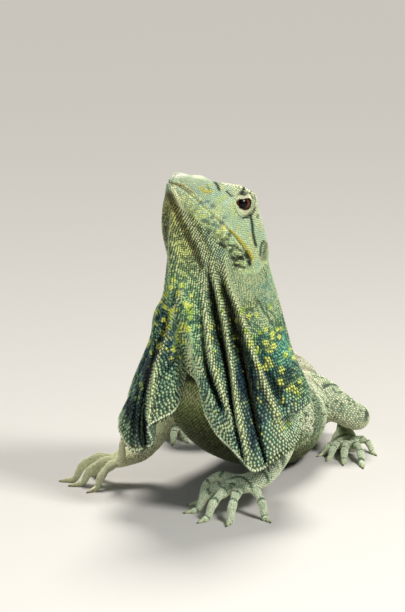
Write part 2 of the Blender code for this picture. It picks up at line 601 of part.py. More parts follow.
def make_body(skin, belly):
    """Neck, torso and tail, which meet in flat faces."""
    neck_gap, torso_gap = share_gap(SPINE, NECK_END), share_gap(SPINE, TORSO_END)
    neck = loft("neck", body_rings(0.0, NECK_END - neck_gap, NECK_RINGS), skin)
    cut(neck, [loft("near", head_rings(grow=GAP))])
    loft("torso", body_rings(NECK_END + neck_gap, TORSO_END - torso_gap, TORSO_RINGS), belly, floor=True)
    for i, (start, end) in enumerate(zip(TAIL_CUTS[:-1], TAIL_CUTS[1:])):
        first = start + (GAP / TAIL_LENGTH if i else 0.0)
        loft(f"tail_{i + 1}", tail_rings(first, end), skin, floor=True)
    return neck


def make_limb(names, rows, splits, digits, skin):
    """Two bones' length of limb and the hand or foot with its digits and claws."""
    upper_name, lower_name, end_name = names
    first, second = splits
    a, b = share_gap(rows, first), share_gap(rows, second)
    upper = loft(upper_name, limb_rings(rows, 0.0, first - a), skin, floor=True)
    body = loft("near", body_rings(2.0, len(SPINE) - 1.0, 26, GAP))
    cut(upper, [body, loft("near", limb_rings(rows, first + a, second - b, GAP))])
    loft(lower_name, limb_rings(rows, first + a, second - b), skin, floor=True)
    pieces = [loft(end_name, limb_rings(rows, second + b, len(rows) - 1.0), floor=True)]
    for number, (root, knuckle, tip, radius) in enumerate(digits):
        pieces += digit(f"{end_name}_{number}", root, knuckle, tip, radius)
    end = join(end_name, pieces, skin)
    cut(end, [loft("near", limb_rings(rows, first + a, second - b, GAP), floor=True)])


def frill_columns(hem, grooves):
    """Where along the hem table the sheet has its columns: evenly, and closer at the grooves."""
    wanted = sorted([g[0] + (g[2] + abs(g[1]) / 4) * k for g in grooves for k in GROOVE_STEPS])
    far = [c for c in np.arange(0, len(hem) - 1, COLUMN_STEP) if min(abs(c - w) for w in wanted) > COLUMN_STEP / 2]
    return np.array(sorted(far + wanted + [len(hem) - 1.0]))


def frill_half(hem, grooves, side, at, levels):
    """One half of the frill's middle surface, from root to hem and throat to nape, and its way out."""
    rows = spline(hem, at)
    out = unit(np.column_stack((rows[:, :2] - FRILL_AXIS, np.zeros(len(at)))))
    root = from_head(spline(np.array(FRILL_ROOT) * (1, side, 1), rows[:, 4]))
    grid = []
    for v in levels:
        late = v ** rows[:, 3:4]
        point = root + (rows[:, :3] - root) * np.column_stack((late, late, np.full(len(at), v)))
        swell = FRILL_BULGE * math.sin(math.pi * v**0.9) + rows[:, 5] * float(smooth(LEDGE_AT, LEDGE_OUT, v))
        for place, lean, width, depth, start, deepest, end in grooves:
            deep = float(smooth((0.0, start, deepest, end), (0.0, 0.0, 1.0, 0.0), v)) if v < end else 0.0
            swell = swell - depth * deep * np.exp(-(((at - place - lean * (v - deepest)) / width) ** 2))
        grid.append(point + out * swell[:, None])
    return np.array(grid), np.repeat(out[None], len(grid), axis=0)


def make_frill(name, side, surface, cutters):
    """Half of the frill: a pleated sheet, cut clear of what it grows from and hangs over."""
    hem, grooves = (LEFT_HEM, LEFT_GROOVES) if side > 0 else (RIGHT_HEM, RIGHT_GROOVES)
    middle, out = frill_half(hem, grooves, side, frill_columns(hem, grooves), FRILL_LEVELS)
    middle[:, 0, 0] += side * GAP / 2
    rows, columns = middle.shape[:2]
    half = FRILL_THICK / 2
    points = np.concatenate(((middle + out * half).reshape(-1, 3), (middle - out * half).reshape(-1, 3)))
    under, faces = rows * columns, []
    for i in range(rows - 1):
        for j in range(columns - 1):
            a, b = i * columns + j, (i + 1) * columns + j
            faces += [(a, a + 1, b + 1), (a, b + 1, b)]
            faces += [(under + a, under + b + 1, under + a + 1), (under + a, under + b, under + b + 1)]
    rim = list(range(columns)) + [i * columns + columns - 1 for i in range(1, rows)]
    rim += [(rows - 1) * columns + j for j in range(columns - 2, -1, -1)] + [i * columns for i in range(rows - 2, 0, -1)]
    for a, b in zip(rim, rim[1:] + rim[:1]):
        faces += [(a, under + a, under + b), (a, under + b, b)]
    frill = solid(name, points, faces, surface)
    return cut(frill, cutters())


def stand_at_origin():
    """Moves all pieces so that the box round them is centred over the origin and rests on the floor."""
    bodies = [o for o in bpy.context.scene.objects if o.type == "MESH"]
    points = np.concatenate([np.array([v.co for v in o.data.vertices]) for o in bodies])
    shift = -(points.min(axis=0) + points.max(axis=0)) / 2
    shift[2] = 0.0
    for body in bodies:
        for vertex in body.data.vertices:
            vertex.co.x += shift[0]
            vertex.co.y += shift[1]
        body.data.shade_smooth()


def main():
    for old in list(bpy.data.objects):
        bpy.data.objects.remove(old)
    skin = material("skin", (0.50, 0.60, 0.42), 0.6)
    belly = material("belly_skin", (0.42, 0.46, 0.30), 0.65)
    frill_skin = material("frill_skin", (0.24, 0.40, 0.36), 0.6)
    eye_surface = material("eye", (0.05, 0.03, 0.02), 0.08)
    make_head(skin, skin, eye_surface)
    make_body(skin, belly)
    arm, leg = (ARM_ELBOW, ARM_WRIST), (LEG_KNEE, LEG_ANKLE)
    make_limb(("arm_left", "forearm_left", "hand_left"), LEFT_ARM, arm, LEFT_HAND, skin)
    make_limb(("arm_right", "forearm_right", "hand_right"), RIGHT_ARM, arm, RIGHT_HAND, skin)
    make_limb(("thigh_left", "shin_left", "foot_left"), LEFT_LEG, leg, LEFT_FOOT, skin)
    make_limb(("thigh_right", "shin_right", "foot_right"), RIGHT_LEG, leg, RIGHT_FOOT, skin)

    def neighbours(arm_rows):
        made = [loft("near", head_rings(grow=GAP))]
        made.append(loft("near", body_rings(0.0, 6.0, 26, GAP)))
        made.append(loft("near", limb_rings(arm_rows, 0.0, ARM_WRIST, GAP)))
        return made

    make_frill("frill_left", 1, frill_skin, lambda: neighbours(LEFT_ARM))
    make_frill("frill_right", -1, frill_skin, lambda: neighbours(RIGHT_ARM))
    stand_at_origin()


main()
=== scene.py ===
"""Looks of a frilled lizard: one skin with raised scales, a pleated frill, eyes and claws.

Lengths are in millimetres, in the frame of the animal's own tables: +Z up, the chest faces -Y and
the animal's left is +X. The frame's left eye gives the step from there to the part's own frame.
"""

import math

import bmesh
import bpy
import numpy as np
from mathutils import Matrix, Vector
from mathutils.bvhtree import BVHTree
from mathutils.kdtree import KDTree


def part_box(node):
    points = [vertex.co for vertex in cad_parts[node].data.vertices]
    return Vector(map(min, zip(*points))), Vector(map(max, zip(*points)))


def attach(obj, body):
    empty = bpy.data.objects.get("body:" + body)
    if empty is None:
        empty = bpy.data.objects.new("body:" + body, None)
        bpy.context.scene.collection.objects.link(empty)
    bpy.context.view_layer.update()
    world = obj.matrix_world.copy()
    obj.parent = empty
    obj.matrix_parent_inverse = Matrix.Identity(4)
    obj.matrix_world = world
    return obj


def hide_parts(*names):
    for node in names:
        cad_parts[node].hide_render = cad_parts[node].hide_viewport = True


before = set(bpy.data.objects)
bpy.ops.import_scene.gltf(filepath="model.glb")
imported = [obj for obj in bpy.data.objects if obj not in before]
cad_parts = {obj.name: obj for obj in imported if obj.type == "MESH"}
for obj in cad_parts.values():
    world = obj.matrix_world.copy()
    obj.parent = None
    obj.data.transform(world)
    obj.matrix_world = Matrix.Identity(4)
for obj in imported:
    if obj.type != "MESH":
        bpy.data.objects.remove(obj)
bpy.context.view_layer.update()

MM = 0.001
RNG = np.random.default_rng(7)

# Picture and camera
PICTURE_WIDE, PICTURE_HIGH, PIXELS_PER_MM = 405, 612, 3.1
FLOOR_ROW, CAMERA_UP, LENS, SENSOR = 520, 10.0, 135.0, 36.0
SUN_DOWN, SUN_WIDTH = (-0.08, -0.45, -0.85), 24.0
FLOOR_HALF, LAMP_TARGET = 4e4, (0.0, 20.0, 60.0)
LAMPS = (
    ("key", (420, -420, 600), 7.4, 200, (1.0, 0.98, 0.94)),
    ("fill", (-560, -420, 260), 1.5, 500, (0.94, 0.98, 1.0)),
)

# Head
SNOUT_TIP = (-9.8, -16.0, 113.2)
HEAD_YAW, HEAD_PITCH, HEAD_ROLL = 31.4, 38.7, 9.0
HEAD_SIZE = 1.05
HEAD_BACK = (0.0, 2.0, 5.0, 9.0, 14.0, 19.0, 23.0, 27.0, 32.0, 38.0, 44.0, 48.0, 51.0)
CROWN_UP = (2.4, 3.6, 5.0, 6.9, 9.1, 11.3, 12.3, 12.7, 12.6, 12.2, 11.4, 10.0, 8.0)
CANTHUS_LEFT = (0.7, 1.4, 2.4, 3.6, 5.4, 7.6, 9.0, 9.8, 10.0, 9.6, 8.4, 7.2, 5.6)
CANTHUS_UP = (2.1, 3.1, 4.4, 6.4, 8.9, 11.4, 13.3, 13.8, 12.3, 10.8, 9.5, 8.2, 6.0)
FACE_LEFT = (0.7, 1.8, 3.8, 5.8, 7.8, 9.6, 10.6, 11.2, 12.0, 12.6, 12.4, 11.0, 8.4)
FACE_UP = (0.6, 1.5, 2.4, 3.4, 4.6, 5.6, 6.2, 5.8, 5.2, 4.6, 4.0, 3.2, 2.0)
LIP_LEFT = (0.8, 1.9, 3.6, 6.0, 8.6, 10.6, 11.7, 12.4, 12.9, 13.1, 12.6, 11.0, 8.2)
LIP_UP = (-1.0, -0.6, -0.3, -0.6, -1.1, -1.4, -1.5, -1.7, -2.0, -2.6, -3.0, -3.0, -3.0)
JAW_LEFT = (0.7, 1.5, 2.9, 5.0, 7.5, 9.5, 10.8, 11.5, 11.8, 11.8, 11.0, 9.4, 7.2)
JAW_UP = (-1.9, -2.6, -3.6, -4.7, -5.7, -6.5, -7.0, -7.3, -7.7, -8.3, -8.4, -8.0, -7.0)
THROAT_UP = (-2.2, -3.3, -4.6, -5.9, -7.1, -8.2, -9.0, -9.8, -10.8, -11.8, -12.4, -12.0, -10.0)
MOUTH_CORNER = 37.5
CAD_EYE = np.array((25.0, 8.0, 9.2))
EYE_PLACE, EYE_RADIUS = np.array((24.5, 8.5, 9.2)), 3.2
EYE_GAZE, EYE_LOOK, EYE_TILT = (-0.45, 0.85, -0.05), (-0.58, 0.78, -0.22), 34.0
LID_THICK, LID_OPEN_LONG, LID_OPEN_HIGH = 0.55, 3.5, 2.0
NOSTRIL_PLACE = (10.4, 5.3, 4.9)
EAR_PLACE, EAR_RADIUS = (42.5, 12.2, 2.0), 2.3

# Body: x, y, z, heading, half width, up to the back, down to the belly
SPINE = (
    (6.5, 10.5, 88.0, 31.0, 7.6, 7.0, 6.0),
    (11.5, 17.0, 78.0, 30.0, 9.2, 8.5, 7.5),
    (11.0, 19.5, 66.5, 24.0, 10.6, 9.8, 9.6),
    (8.5, 22.5, 54.0, 18.0, 14.0, 12.0, 13.0),
    (6.6, 31.5, 40.5, 14.0, 18.2, 14.0, 15.5),
    (11.6, 47.5, 26.8, 16.0, 21.6, 14.5, 17.5),
    (22.0, 68.0, 19.4, 16.0, 20.5, 14.5, 18.9),
    (28.0, 89.0, 16.9, 15.0, 18.0, 14.0, 17.5),
    (31.5, 107.0, 14.7, 13.0, 14.5, 13.0, 15.3),
    (35.5, 126.0, 11.0, 10.0, 11.0, 10.5, 11.6),
)
TORSO_END = 8.55
TAIL_LENGTH = 372.0
TAIL_AT = (0.0, 0.05, 0.13, 0.3, 0.5, 0.75, 1.0)
TAIL_RADIUS = (12.2, 10.0, 7.8, 5.7, 3.9, 2.2, 0.7)
TAIL_TURN_AT = (0.0, 0.12, 0.3, 0.5, 0.72, 1.0)
TAIL_TURN = (10.0, 4.0, -10.0, -14.0, 4.0, 14.0)
FLOOR_SINK, PAD_RISE = 0.35, 0.05


# Limbs: x, y, z, half width, half height at each station
LEFT_ARM = (
    (12.0, 30.0, 43.0, 7.0, 7.5), (19.0, 27.5, 36.5, 6.6, 7.0), (25.5, 28.0, 27.5, 5.4, 5.6),
    (27.5, 27.0, 21.5, 4.7, 4.9), (25.0, 20.5, 15.5, 4.3, 4.3), (21.5, 13.5, 11.2, 3.3, 3.0),
    (18.0, 9.0, 10.0, 4.4, 2.9), (12.5, 4.5, 9.6, 5.4, 2.6), (10.5, 2.5, 9.0, 4.6, 1.9),
)
RIGHT_ARM = (
    (2.0, 36.0, 43.0, 7.0, 7.5), (-7.0, 38.0, 37.0, 6.6, 7.0), (-12.5, 44.0, 28.5, 5.4, 5.6),
    (-15.0, 48.0, 21.0, 4.7, 4.9), (-17.5, 47.5, 15.5, 4.5, 4.5), (-21.0, 45.5, 11.0, 3.5, 3.2),
    (-24.5, 44.5, 9.8, 4.6, 3.0), (-29.0, 43.5, 8.6, 5.2, 2.6), (-31.0, 43.2, 8.0, 4.4, 1.9),
)
LEFT_LEG = (
    (30.0, 104.0, 17.0, 9.5, 10.0), (37.5, 98.5, 18.5, 9.2, 9.8), (43.5, 90.5, 19.0, 7.6, 8.2),
    (49.0, 83.5, 18.2, 5.6, 5.8), (54.8, 84.0, 14.9, 5.0, 5.0), (56.5, 91.5, 12.8, 4.8, 4.8),
    (55.5, 101.0, 11.0, 4.4, 4.4), (53.8, 108.5, 8.6, 3.0, 3.0), (53.2, 107.5, 4.0, 3.2, 2.5),
    (52.8, 101.5, 2.6, 4.6, 2.6), (52.5, 95.0, 2.3, 5.2, 2.6), (52.0, 89.0, 1.9, 4.8, 2.1),
)
RIGHT_LEG = (
    (22.0, 110.0, 17.0, 9.5, 10.0), (12.5, 112.0, 18.0, 9.2, 9.8), (4.5, 108.5, 18.6, 7.6, 8.2),
    (-2.5, 104.5, 17.8, 5.6, 5.8), (-8.2, 106.0, 14.6, 5.0, 5.0), (-9.8, 113.0, 12.6, 4.8, 4.8),
    (-7.6, 122.0, 11.0, 4.4, 4.4), (-3.8, 130.4, 8.6, 3.0, 3.0), (-3.4, 130.0, 4.0, 3.2, 2.5),
    (-5.0, 124.8, 2.6, 4.6, 2.6), (-7.2, 119.5, 2.3, 5.2, 2.6), (-9.5, 114.5, 1.9, 4.8, 2.1),
)
ARM_HAND, LEG_FOOT = 5.0, 7.0

# Digits: root, knuckle and tip, with the radius at the root
LEFT_HAND = (
    ((14.0, 9.0, 10.0), (4.0, 12.5, 10.0), (-2.5, 13.5, 2.6), 1.9),
    ((12.0, 5.0, 9.6), (4.0, 5.5, 8.2), (-3.6, 4.0, 1.9), 2.0),
    ((11.0, 4.0, 9.4), (5.2, -2.0, 7.2), (0.2, -7.0, 1.8), 2.0),
    ((12.5, 4.0, 9.4), (10.4, -4.0, 7.2), (8.4, -10.5, 1.8), 2.0),
    ((15.0, 6.0, 9.4), (18.4, -0.5, 7.2), (21.0, -6.0, 1.8), 1.9),
)
RIGHT_HAND = (
    ((-28.0, 41.0, 8.6), (-27.6, 35.0, 11.5), (-27.4, 32.0, 17.5), 1.9),
    ((-29.0, 41.5, 8.4), (-33.0, 36.5, 6.6), (-37.5, 32.0, 1.9), 1.9),
    ((-29.0, 43.0, 8.4), (-36.0, 41.0, 7.4), (-43.5, 39.5, 2.0), 2.0),
    ((-29.0, 44.0, 8.4), (-38.0, 45.0, 8.4), (-47.0, 45.5, 2.2), 2.0),
    ((-29.0, 45.5, 8.4), (-34.0, 50.0, 6.6), (-39.0, 54.0, 1.9), 1.9),
)
LEFT_FOOT = (
    ((52.0, 92.0, 3.2), (47.0, 86.5, 3.6), (43.5, 83.5, 1.4), 1.8),
    ((52.0, 91.0, 3.2), (48.0, 82.5, 3.8), (45.5, 77.0, 1.4), 1.8),
    ((52.5, 90.0, 3.2), (51.5, 80.0, 4.0), (50.5, 71.0, 1.4), 1.9),
    ((53.0, 90.0, 3.2), (56.5, 78.0, 4.2), (57.0, 66.5, 1.4), 1.9),
    ((54.0, 97.0, 3.2), (60.0, 92.0, 3.6), (62.5, 85.5, 1.4), 1.7),
)
RIGHT_FOOT = (
    ((-9.0, 117.0, 3.2), (-7.5, 110.0, 3.6), (-6.0, 105.0, 1.4), 1.8),
    ((-9.0, 116.0, 3.2), (-10.5, 107.5, 3.8), (-11.0, 101.5, 1.4), 1.8),
    ((-9.5, 115.5, 3.2), (-15.0, 107.0, 4.0), (-19.5, 99.0, 1.4), 1.9),
    ((-10.0, 115.5, 3.2), (-19.5, 108.5, 4.2), (-27.5, 99.5, 1.4), 1.9),
    ((-8.5, 122.5, 3.2), (-16.0, 121.0, 3.6), (-22.5, 118.0, 1.4), 1.7),
)
DIGIT_SLIM = 0.78
CLAW_LENGTH, CLAW_RADIUS, CLAW_DROP = 3.6, 0.68, 0.5

# Where the frill's outer face leaves the cheek, row for row with its root below
FRILL_LANDING = (
    (4.0, 0.0, -4.4), (9.0, 4.8, -4.6), (16.0, 8.4, -5.0), (23.0, 11.0, -5.2), (31.0, 12.6, -5.2),
    (37.0, 12.8, -5.0), (42.0, 12.6, -2.5), (45.6, 11.6, 2.5), (46.8, 8.6, 7.0), (47.4, 4.5, 9.6),
)
# Frill root on the head, then its hem: x, y, z, how late it flares, share of the root, ledge
FRILL_ROOT = (
    (5.0, 0.0, -4.2), (11.0, 2.6, -5.6), (18.0, 5.0, -6.6), (25.0, 7.0, -7.4), (32.0, 8.8, -7.8),
    (38.0, 10.4, -6.6), (43.5, 11.4, -3.0), (46.5, 11.0, 2.0), (47.5, 8.0, 6.5), (48.0, 4.5, 9.0),
)
LEFT_HEM = (
    (-5.0, 2.0, 48.6, 2.2, 0.0, 0.0), (-2.0, -0.4, 45.6, 2.3, 0.4, 0.0), (0.2, -3.0, 40.8, 2.3, 0.8, 0.0),
    (1.0, -4.6, 35.4, 2.1, 1.15, 0.0), (4.6, -6.2, 29.2, 1.8, 1.5, 0.0), (9.6, -7.2, 24.2, 1.4, 1.8, 0.0),
    (13.2, -7.4, 20.2, 1.1, 2.05, 0.0), (16.4, -7.0, 17.0, 1.0, 2.3, 0.0),
    (20.2, -5.6, 18.0, 0.95, 2.6, 0.0), (23.8, -3.6, 20.4, 0.9, 3.0, 0.0),
    (27.0, -1.2, 22.0, 0.95, 3.35, 1.4), (30.2, 3.5, 23.4, 1.0, 3.8, 3.4), (32.0, 9.0, 25.2, 1.0, 4.3, 4.8),
    (32.6, 15.5, 26.8, 1.0, 4.8, 5.0), (32.8, 23.0, 29.0, 1.0, 5.3, 4.0), (32.8, 31.0, 32.2, 1.0, 5.9, 2.4),
    (32.0, 39.5, 36.0, 1.0, 6.5, 1.0), (30.0, 48.0, 40.5, 1.0, 7.2, 0.0), (24.0, 56.0, 46.0, 1.0, 8.0, 0.0),
    (14.5, 60.5, 50.5, 1.0, 9.0, 0.0),
)
RIGHT_HEM = (
    (-5.0, 2.0, 48.6, 2.2, 0.0, 0.0), (-6.2, 1.2, 43.6, 2.1, 0.35, 0.0), (-7.3, -0.4, 38.8, 2.0, 0.75, 0.0),
    (-9.4, -2.2, 35.6, 1.8, 1.15, 0.0), (-13.4, -3.4, 33.6, 1.6, 1.5, 0.0),
    (-17.4, -3.9, 31.0, 1.45, 1.85, 0.0), (-16.2, -1.8, 25.0, 1.4, 2.3, 0.0),
    (-19.2, 0.8, 22.6, 1.4, 2.8, 0.0), (-22.4, 2.4, 21.8, 1.4, 3.2, 0.0),
    (-25.4, 5.0, 24.2, 1.75, 3.6, 0.0), (-27.2, 9.6, 27.0, 1.85, 4.0, 0.0),
    (-27.6, 15.5, 28.6, 1.75, 4.5, 0.0), (-26.8, 23.0, 30.8, 1.5, 5.0, 0.0),
    (-25.6, 31.0, 33.5, 1.15, 5.6, 0.0), (-23.0, 39.5, 37.0, 1.0, 6.3, 0.0),
    (-18.6, 48.0, 41.0, 1.0, 7.1, 0.0), (-10.5, 56.0, 45.5, 1.0, 8.0, 0.0),
    (-1.5, 60.5, 50.0, 1.0, 9.0, 0.0),
)
# Grooves round the sides: place, lean towards the nape, half width, depth, start, deepest and end
LEFT_GROOVES = (
    (15.4, 0.0, 0.5, 2.4, 0.3, 0.8, 1.6), (17.6, 0.0, 0.5, 2.0, 0.3, 0.8, 1.6),
)
RIGHT_GROOVES = (
    (12.5, 0.0, 0.45, 2.4, 0.3, 0.8, 1.6), (14.5, 0.0, 0.5, 2.2, 0.3, 0.8, 1.6),
    (16.2, 0.0, 0.45, 1.8, 0.3, 0.8, 1.6),
)
# Folds of the front, placed as the picture shows them: column, row, half width, depth
# The left half's two deep pleats, the valley between them and the midline, and the panel's valley
# Then the right half's pleats, from the midline out, and last the ridges, which rise
FOLDS = (
    ((206, 262, 1.4, 0.7), (208.5, 279, 2.6, 1.8), (211.3, 294, 4.2, 3.2), (213.7, 309, 4.6, 4.0),
     (216.8, 323, 4.8, 4.6), (219.7, 338, 4.2, 5.0), (223.3, 352, 3.8, 5.2), (226.2, 367, 3.2, 5.2),
     (228.5, 382, 2.8, 5.0), (230.3, 397, 2.4, 4.6), (232.2, 411, 2.0, 4.0), (235, 426, 1.9, 3.6),
     (238.7, 440, 1.8, 3.0), (243, 458, 1.6, 2.6)),
    ((215.5, 265, 1.6, 0.6), (219.5, 279, 3.2, 1.8), (223.5, 294, 4.4, 2.8), (228.3, 309, 5.2, 3.8),
     (232, 323, 5.8, 4.6), (235, 338, 6.4, 5.4), (239.3, 352, 6.0, 5.8), (243, 367, 5.0, 6.0),
     (246.2, 382, 4.4, 6.0), (249, 397, 4.2, 5.8), (252, 411, 3.8, 5.4), (254.5, 426, 3.2, 5.0),
     (258.3, 440, 2.8, 4.6), (264.5, 462, 2.5, 4.2)),
    ((200, 305, 1.6, 0.4), (202.5, 330, 2.2, 1.4), (203.5, 350, 2.6, 2.0), (207, 370, 2.8, 2.8),
     (211.5, 383, 3.0, 3.4), (216, 394, 2.8, 3.4), (221, 407, 2.2, 2.2)),
    ((240, 322, 2.0, 0.1), (252, 345, 3.0, 0.6), (264, 370, 3.8, 1.1), (276, 392, 4.0, 1.8),
     (283, 412, 3.6, 1.4), (288, 432, 3.0, 0.6)),
    ((187, 344, 1.3, 0.3), (176, 358, 1.7, 1.3), (167, 370, 1.7, 1.3), (158, 380, 1.5, 0.3)),
    ((181, 280, 1.6, 0.2), (173, 305, 2.2, 1.2), (165, 330, 2.4, 2.0), (156.5, 352, 2.5, 2.4),
     (150, 374, 2.6, 3.0), (146.5, 395, 2.7, 3.8), (144.5, 415, 2.9, 4.4), (145, 435, 2.7, 4.2),
     (147, 450, 2.5, 3.4)),
    ((157, 300, 1.4, 0.2), (152, 325, 1.7, 1.4), (147, 350, 1.8, 1.8), (142.5, 372, 1.9, 2.0),
     (138, 400, 1.9, 2.2), (135.5, 425, 1.9, 2.0), (134, 445, 1.8, 1.4)),
    ((146, 335, 1.3, 0.2), (139, 367, 1.6, 1.3), (131, 402, 1.7, 1.6), (127, 430, 1.6, 1.0)),
    ((210, 262, 1.6, -0.5), (213.5, 279, 1.7, -0.9), (217, 294, 1.8, -1.2), (220.2, 309, 2.0, -1.5),
     (223.6, 323, 2.0, -1.7), (226.4, 338, 2.0, -1.8), (229, 352, 2.2, -1.8), (231.5, 367, 2.2, -1.7),
     (233, 382, 2.3, -1.6), (235.5, 400, 2.6, -1.5), (240, 426, 3.2, -1.3), (248, 464, 3.4, -0.6)),
    ((218, 262, 1.8, -0.5), (226, 279, 2.0, -0.9), (231.5, 294, 2.2, -1.2), (238, 309, 2.4, -1.4),
     (242.4, 323, 2.6, -1.6), (246.9, 338, 2.8, -1.8), (252, 352, 2.9, -1.8), (258, 367, 3.0, -1.8),
     (263, 382, 3.1, -1.7), (268.5, 396, 3.2, -1.5), (274, 411, 3.4, -1.1), (281, 436, 3.5, -0.5)),
    ((203, 290, 2.0, -0.3), (204.6, 312, 2.5, -0.9), (207, 330, 2.8, -1.2), (209.5, 350, 2.9, -1.3),
     (213, 367, 2.9, -1.3), (219, 384, 2.8, -1.2), (226, 404, 2.6, -0.9), (235, 430, 2.6, -0.4)),
    ((158, 364, 2.5, -0.6), (153.5, 380, 2.8, -1.6), (151, 400, 2.8, -2.2), (149.5, 418, 2.6, -1.8)),
    ((190, 335, 2.0, -0.3), (190, 358, 2.2, -1.2), (190, 374, 2.2, -1.0)),
)
FRILL_AXIS, FRILL_BULGE, FRILL_THICK = (6.0, 24.0), 1.5, 1.2
LEDGE_AT = (0.0, 0.35, 0.81, 0.83, 0.91, 1.0)
LEDGE_OUT = (0.0, 0.0, 1.25, -0.15, -0.3, 0.0)
SHOULDER_ROWS, SHOULDER_OUT = (6.0, 8.5, 13.0, 15.5), (0.0, 2.9, 2.9, 0.0)
SHOULDER_AT, SHOULDER_WIDE = 0.375, 0.15
SKIRT_FROM, FRILL_ROWS = 0.17, 131

# Counts and small sizes of the forms
UP = np.array((0.0, 0.0, 1.0))
HEAD_TABLES = (
    CROWN_UP, CANTHUS_LEFT, CANTHUS_UP, FACE_LEFT, FACE_UP, LIP_LEFT, LIP_UP, JAW_LEFT, JAW_UP, THROAT_UP,
)
HEAD_FROM, HEAD_TO, HEAD_RINGS, HEAD_SIDES = 1.3, 51.0, 70, 96
SNOUT_CAP = ((0.25, 0.6), (0.6, 0.5), (0.86, 0.3))
BODY_SIDES, TAIL_SIDES, TAIL_RINGS, TAIL_OVERLAP = 64, 32, 260, (24, 26)
LIMB_SIDES, LIMB_STEP, RAISED_TIP = 40, 0.05, 4.0
CLAW_RINGS, CLAW_SIDES = 12, 14
SKIRT_ROW = int(SKIRT_FROM * (FRILL_ROWS - 1))
NAPE_FROM, NAPE_TO = 22.0, 34.0
FINE_GRAIN, COARSE_GRAIN = 0.42, 0.85

# Limbs: name, stations, where the hand or foot starts, digits, and whether it is the pale one
LIMBS = (
    ("arm_left", LEFT_ARM, ARM_HAND, LEFT_HAND, False),
    ("arm_right", RIGHT_ARM, ARM_HAND, RIGHT_HAND, True),
    ("leg_left", LEFT_LEG, LEG_FOOT, LEFT_FOOT, False),
    ("leg_right", RIGHT_LEG, LEG_FOOT, RIGHT_FOOT, False),
)

# One scale: its points along, across and out, its faces, how far each point has the crown's colour. Crown
# colours are lighter and edge colours darker copies of a scale's colour: painted highlight on the keel,
# painted shade at the rim.
SCALE_POINTS = np.array((
    (-0.55, 0, -0.10), (0.0, 0.5, -0.04), (0.0, -0.5, -0.04), (0.68, 0, 0.55), (0.08, 0, 1.0),
     (0.0, 0, -1.1),
))
SCALE_FACES = np.array((
    (0, 2, 4), (2, 3, 4), (3, 1, 4), (1, 0, 4), (0, 1, 5), (1, 3, 5), (3, 2, 5), (2, 0, 5),
))
SCALE_SHADE = np.array((0.0, 0.12, 0.12, 0.7, 1.0, 0.0))
PATCH, JITTER = 0.003, 0.08


def smooth(xs, ys, x):
    """Monotone cubic through a small table, so that nothing overshoots between its values."""
    xs, ys, x = (np.asarray(v, float) for v in (xs, ys, x))
    step, rise = np.diff(xs), np.diff(ys)
    slope = rise / step
    tangent = np.concatenate((slope[:1], np.zeros(len(xs) - 2), slope[-1:]))
    both = slope[:-1] * slope[1:]
    steady = both > 0
    tangent[1:-1][steady] = 2.0 * both[steady] / (slope[:-1] + slope[1:])[steady]
    k = np.clip(np.searchsorted(xs, x, side="right") - 1, 0, len(xs) - 2)
    h = step[k]
    t = (np.clip(x, xs[0], xs[-1]) - xs[k]) / h
    start = (1 + 2 * t) * (1 - t) ** 2 * ys[k] + t * (1 - t) ** 2 * h * tangent[k]
    end = t * t * (3 - 2 * t) * ys[k + 1] + t * t * (t - 1) * h * tangent[k + 1]
    return start + end


def between(a, b, c, d, t):
    """Catmull-Rom curve from b to c."""
    bend = (a - 2.5 * b + 2 * c - 0.5 * d) * t**2
    return b + 0.5 * (c - a) * t + bend + 0.5 * (3 * b - a - 3 * c + d) * t**3


def spline(rows, at):
    """Curve through rows of numbers, read at fractional row numbers."""
    rows, at = np.asarray(rows, float), np.asarray(at, float)
    padded = np.vstack((2 * rows[0] - rows[1], rows, 2 * rows[-1] - rows[-2]))
    k = np.clip(np.floor(at).astype(int), 0, len(rows) - 2)
    return between(*(padded[k + i] for i in range(4)), (at - k)[:, None])


def rounder(rings, count):
    """Closed rings drawn again with more points, on a smooth curve."""
    n = rings.shape[1]
    at = np.arange(count) * n / count
    k = np.floor(at).astype(int)
    return between(*(rings[:, (k + i - 1) % n] for i in range(4)), (at - k)[None, :, None])


def unit(v):
    """Rows of v at length one."""
    v = np.asarray(v, float)
    return v / np.maximum(np.linalg.norm(v, axis=-1, keepdims=True), 1e-12)


def ramp(x, low, high):
    """0 below low, 1 above high, smooth between."""
    t = np.clip((np.asarray(x, float) - low) / (high - low), 0.0, 1.0)
    return t * t * (3 - 2 * t)


def fade(x, low, high):
    """1 below low, 0 above high, smooth between."""
    return 1 - ramp(x, low, high)


def bell(x, wide):
    """1 at 0, falling to both sides."""
    return np.exp(-((x / wide) ** 2))


def turns(sides, start=0.5):
    """Angles evenly round a circle."""
    return (np.arange(sides) + start) * 2 * math.pi / sides


def circle(angle, left, up):
    """Circles of radius one, one for each row of left and up."""
    return np.cos(angle)[:, None] * left[:, None] + np.sin(angle)[:, None] * up[:, None]


def head_axes():
    """Back, left and up of the head, as rows."""
    yaw, pitch, roll = (math.radians(a) for a in (HEAD_YAW, HEAD_PITCH, HEAD_ROLL))
    flat = math.cos(pitch)
    forward = np.array((-math.sin(yaw) * flat, -math.cos(yaw) * flat, math.sin(pitch)))
    level_left = np.array((math.cos(yaw), -math.sin(yaw), 0.0))
    level_up = np.cross(forward, level_left)
    left = math.cos(roll) * level_left - math.sin(roll) * level_up
    return np.array((-forward, left, np.cross(forward, left)))


AXES = head_axes()


def from_head(points):
    """Points of the head's frame, in the animal's."""
    return np.array(SNOUT_TIP) + HEAD_SIZE * np.asarray(points, float) @ AXES


def to_head(points):
    """The animal's points, in the head's frame."""
    return (np.asarray(points, float) - np.array(SNOUT_TIP)) @ AXES.T / HEAD_SIZE


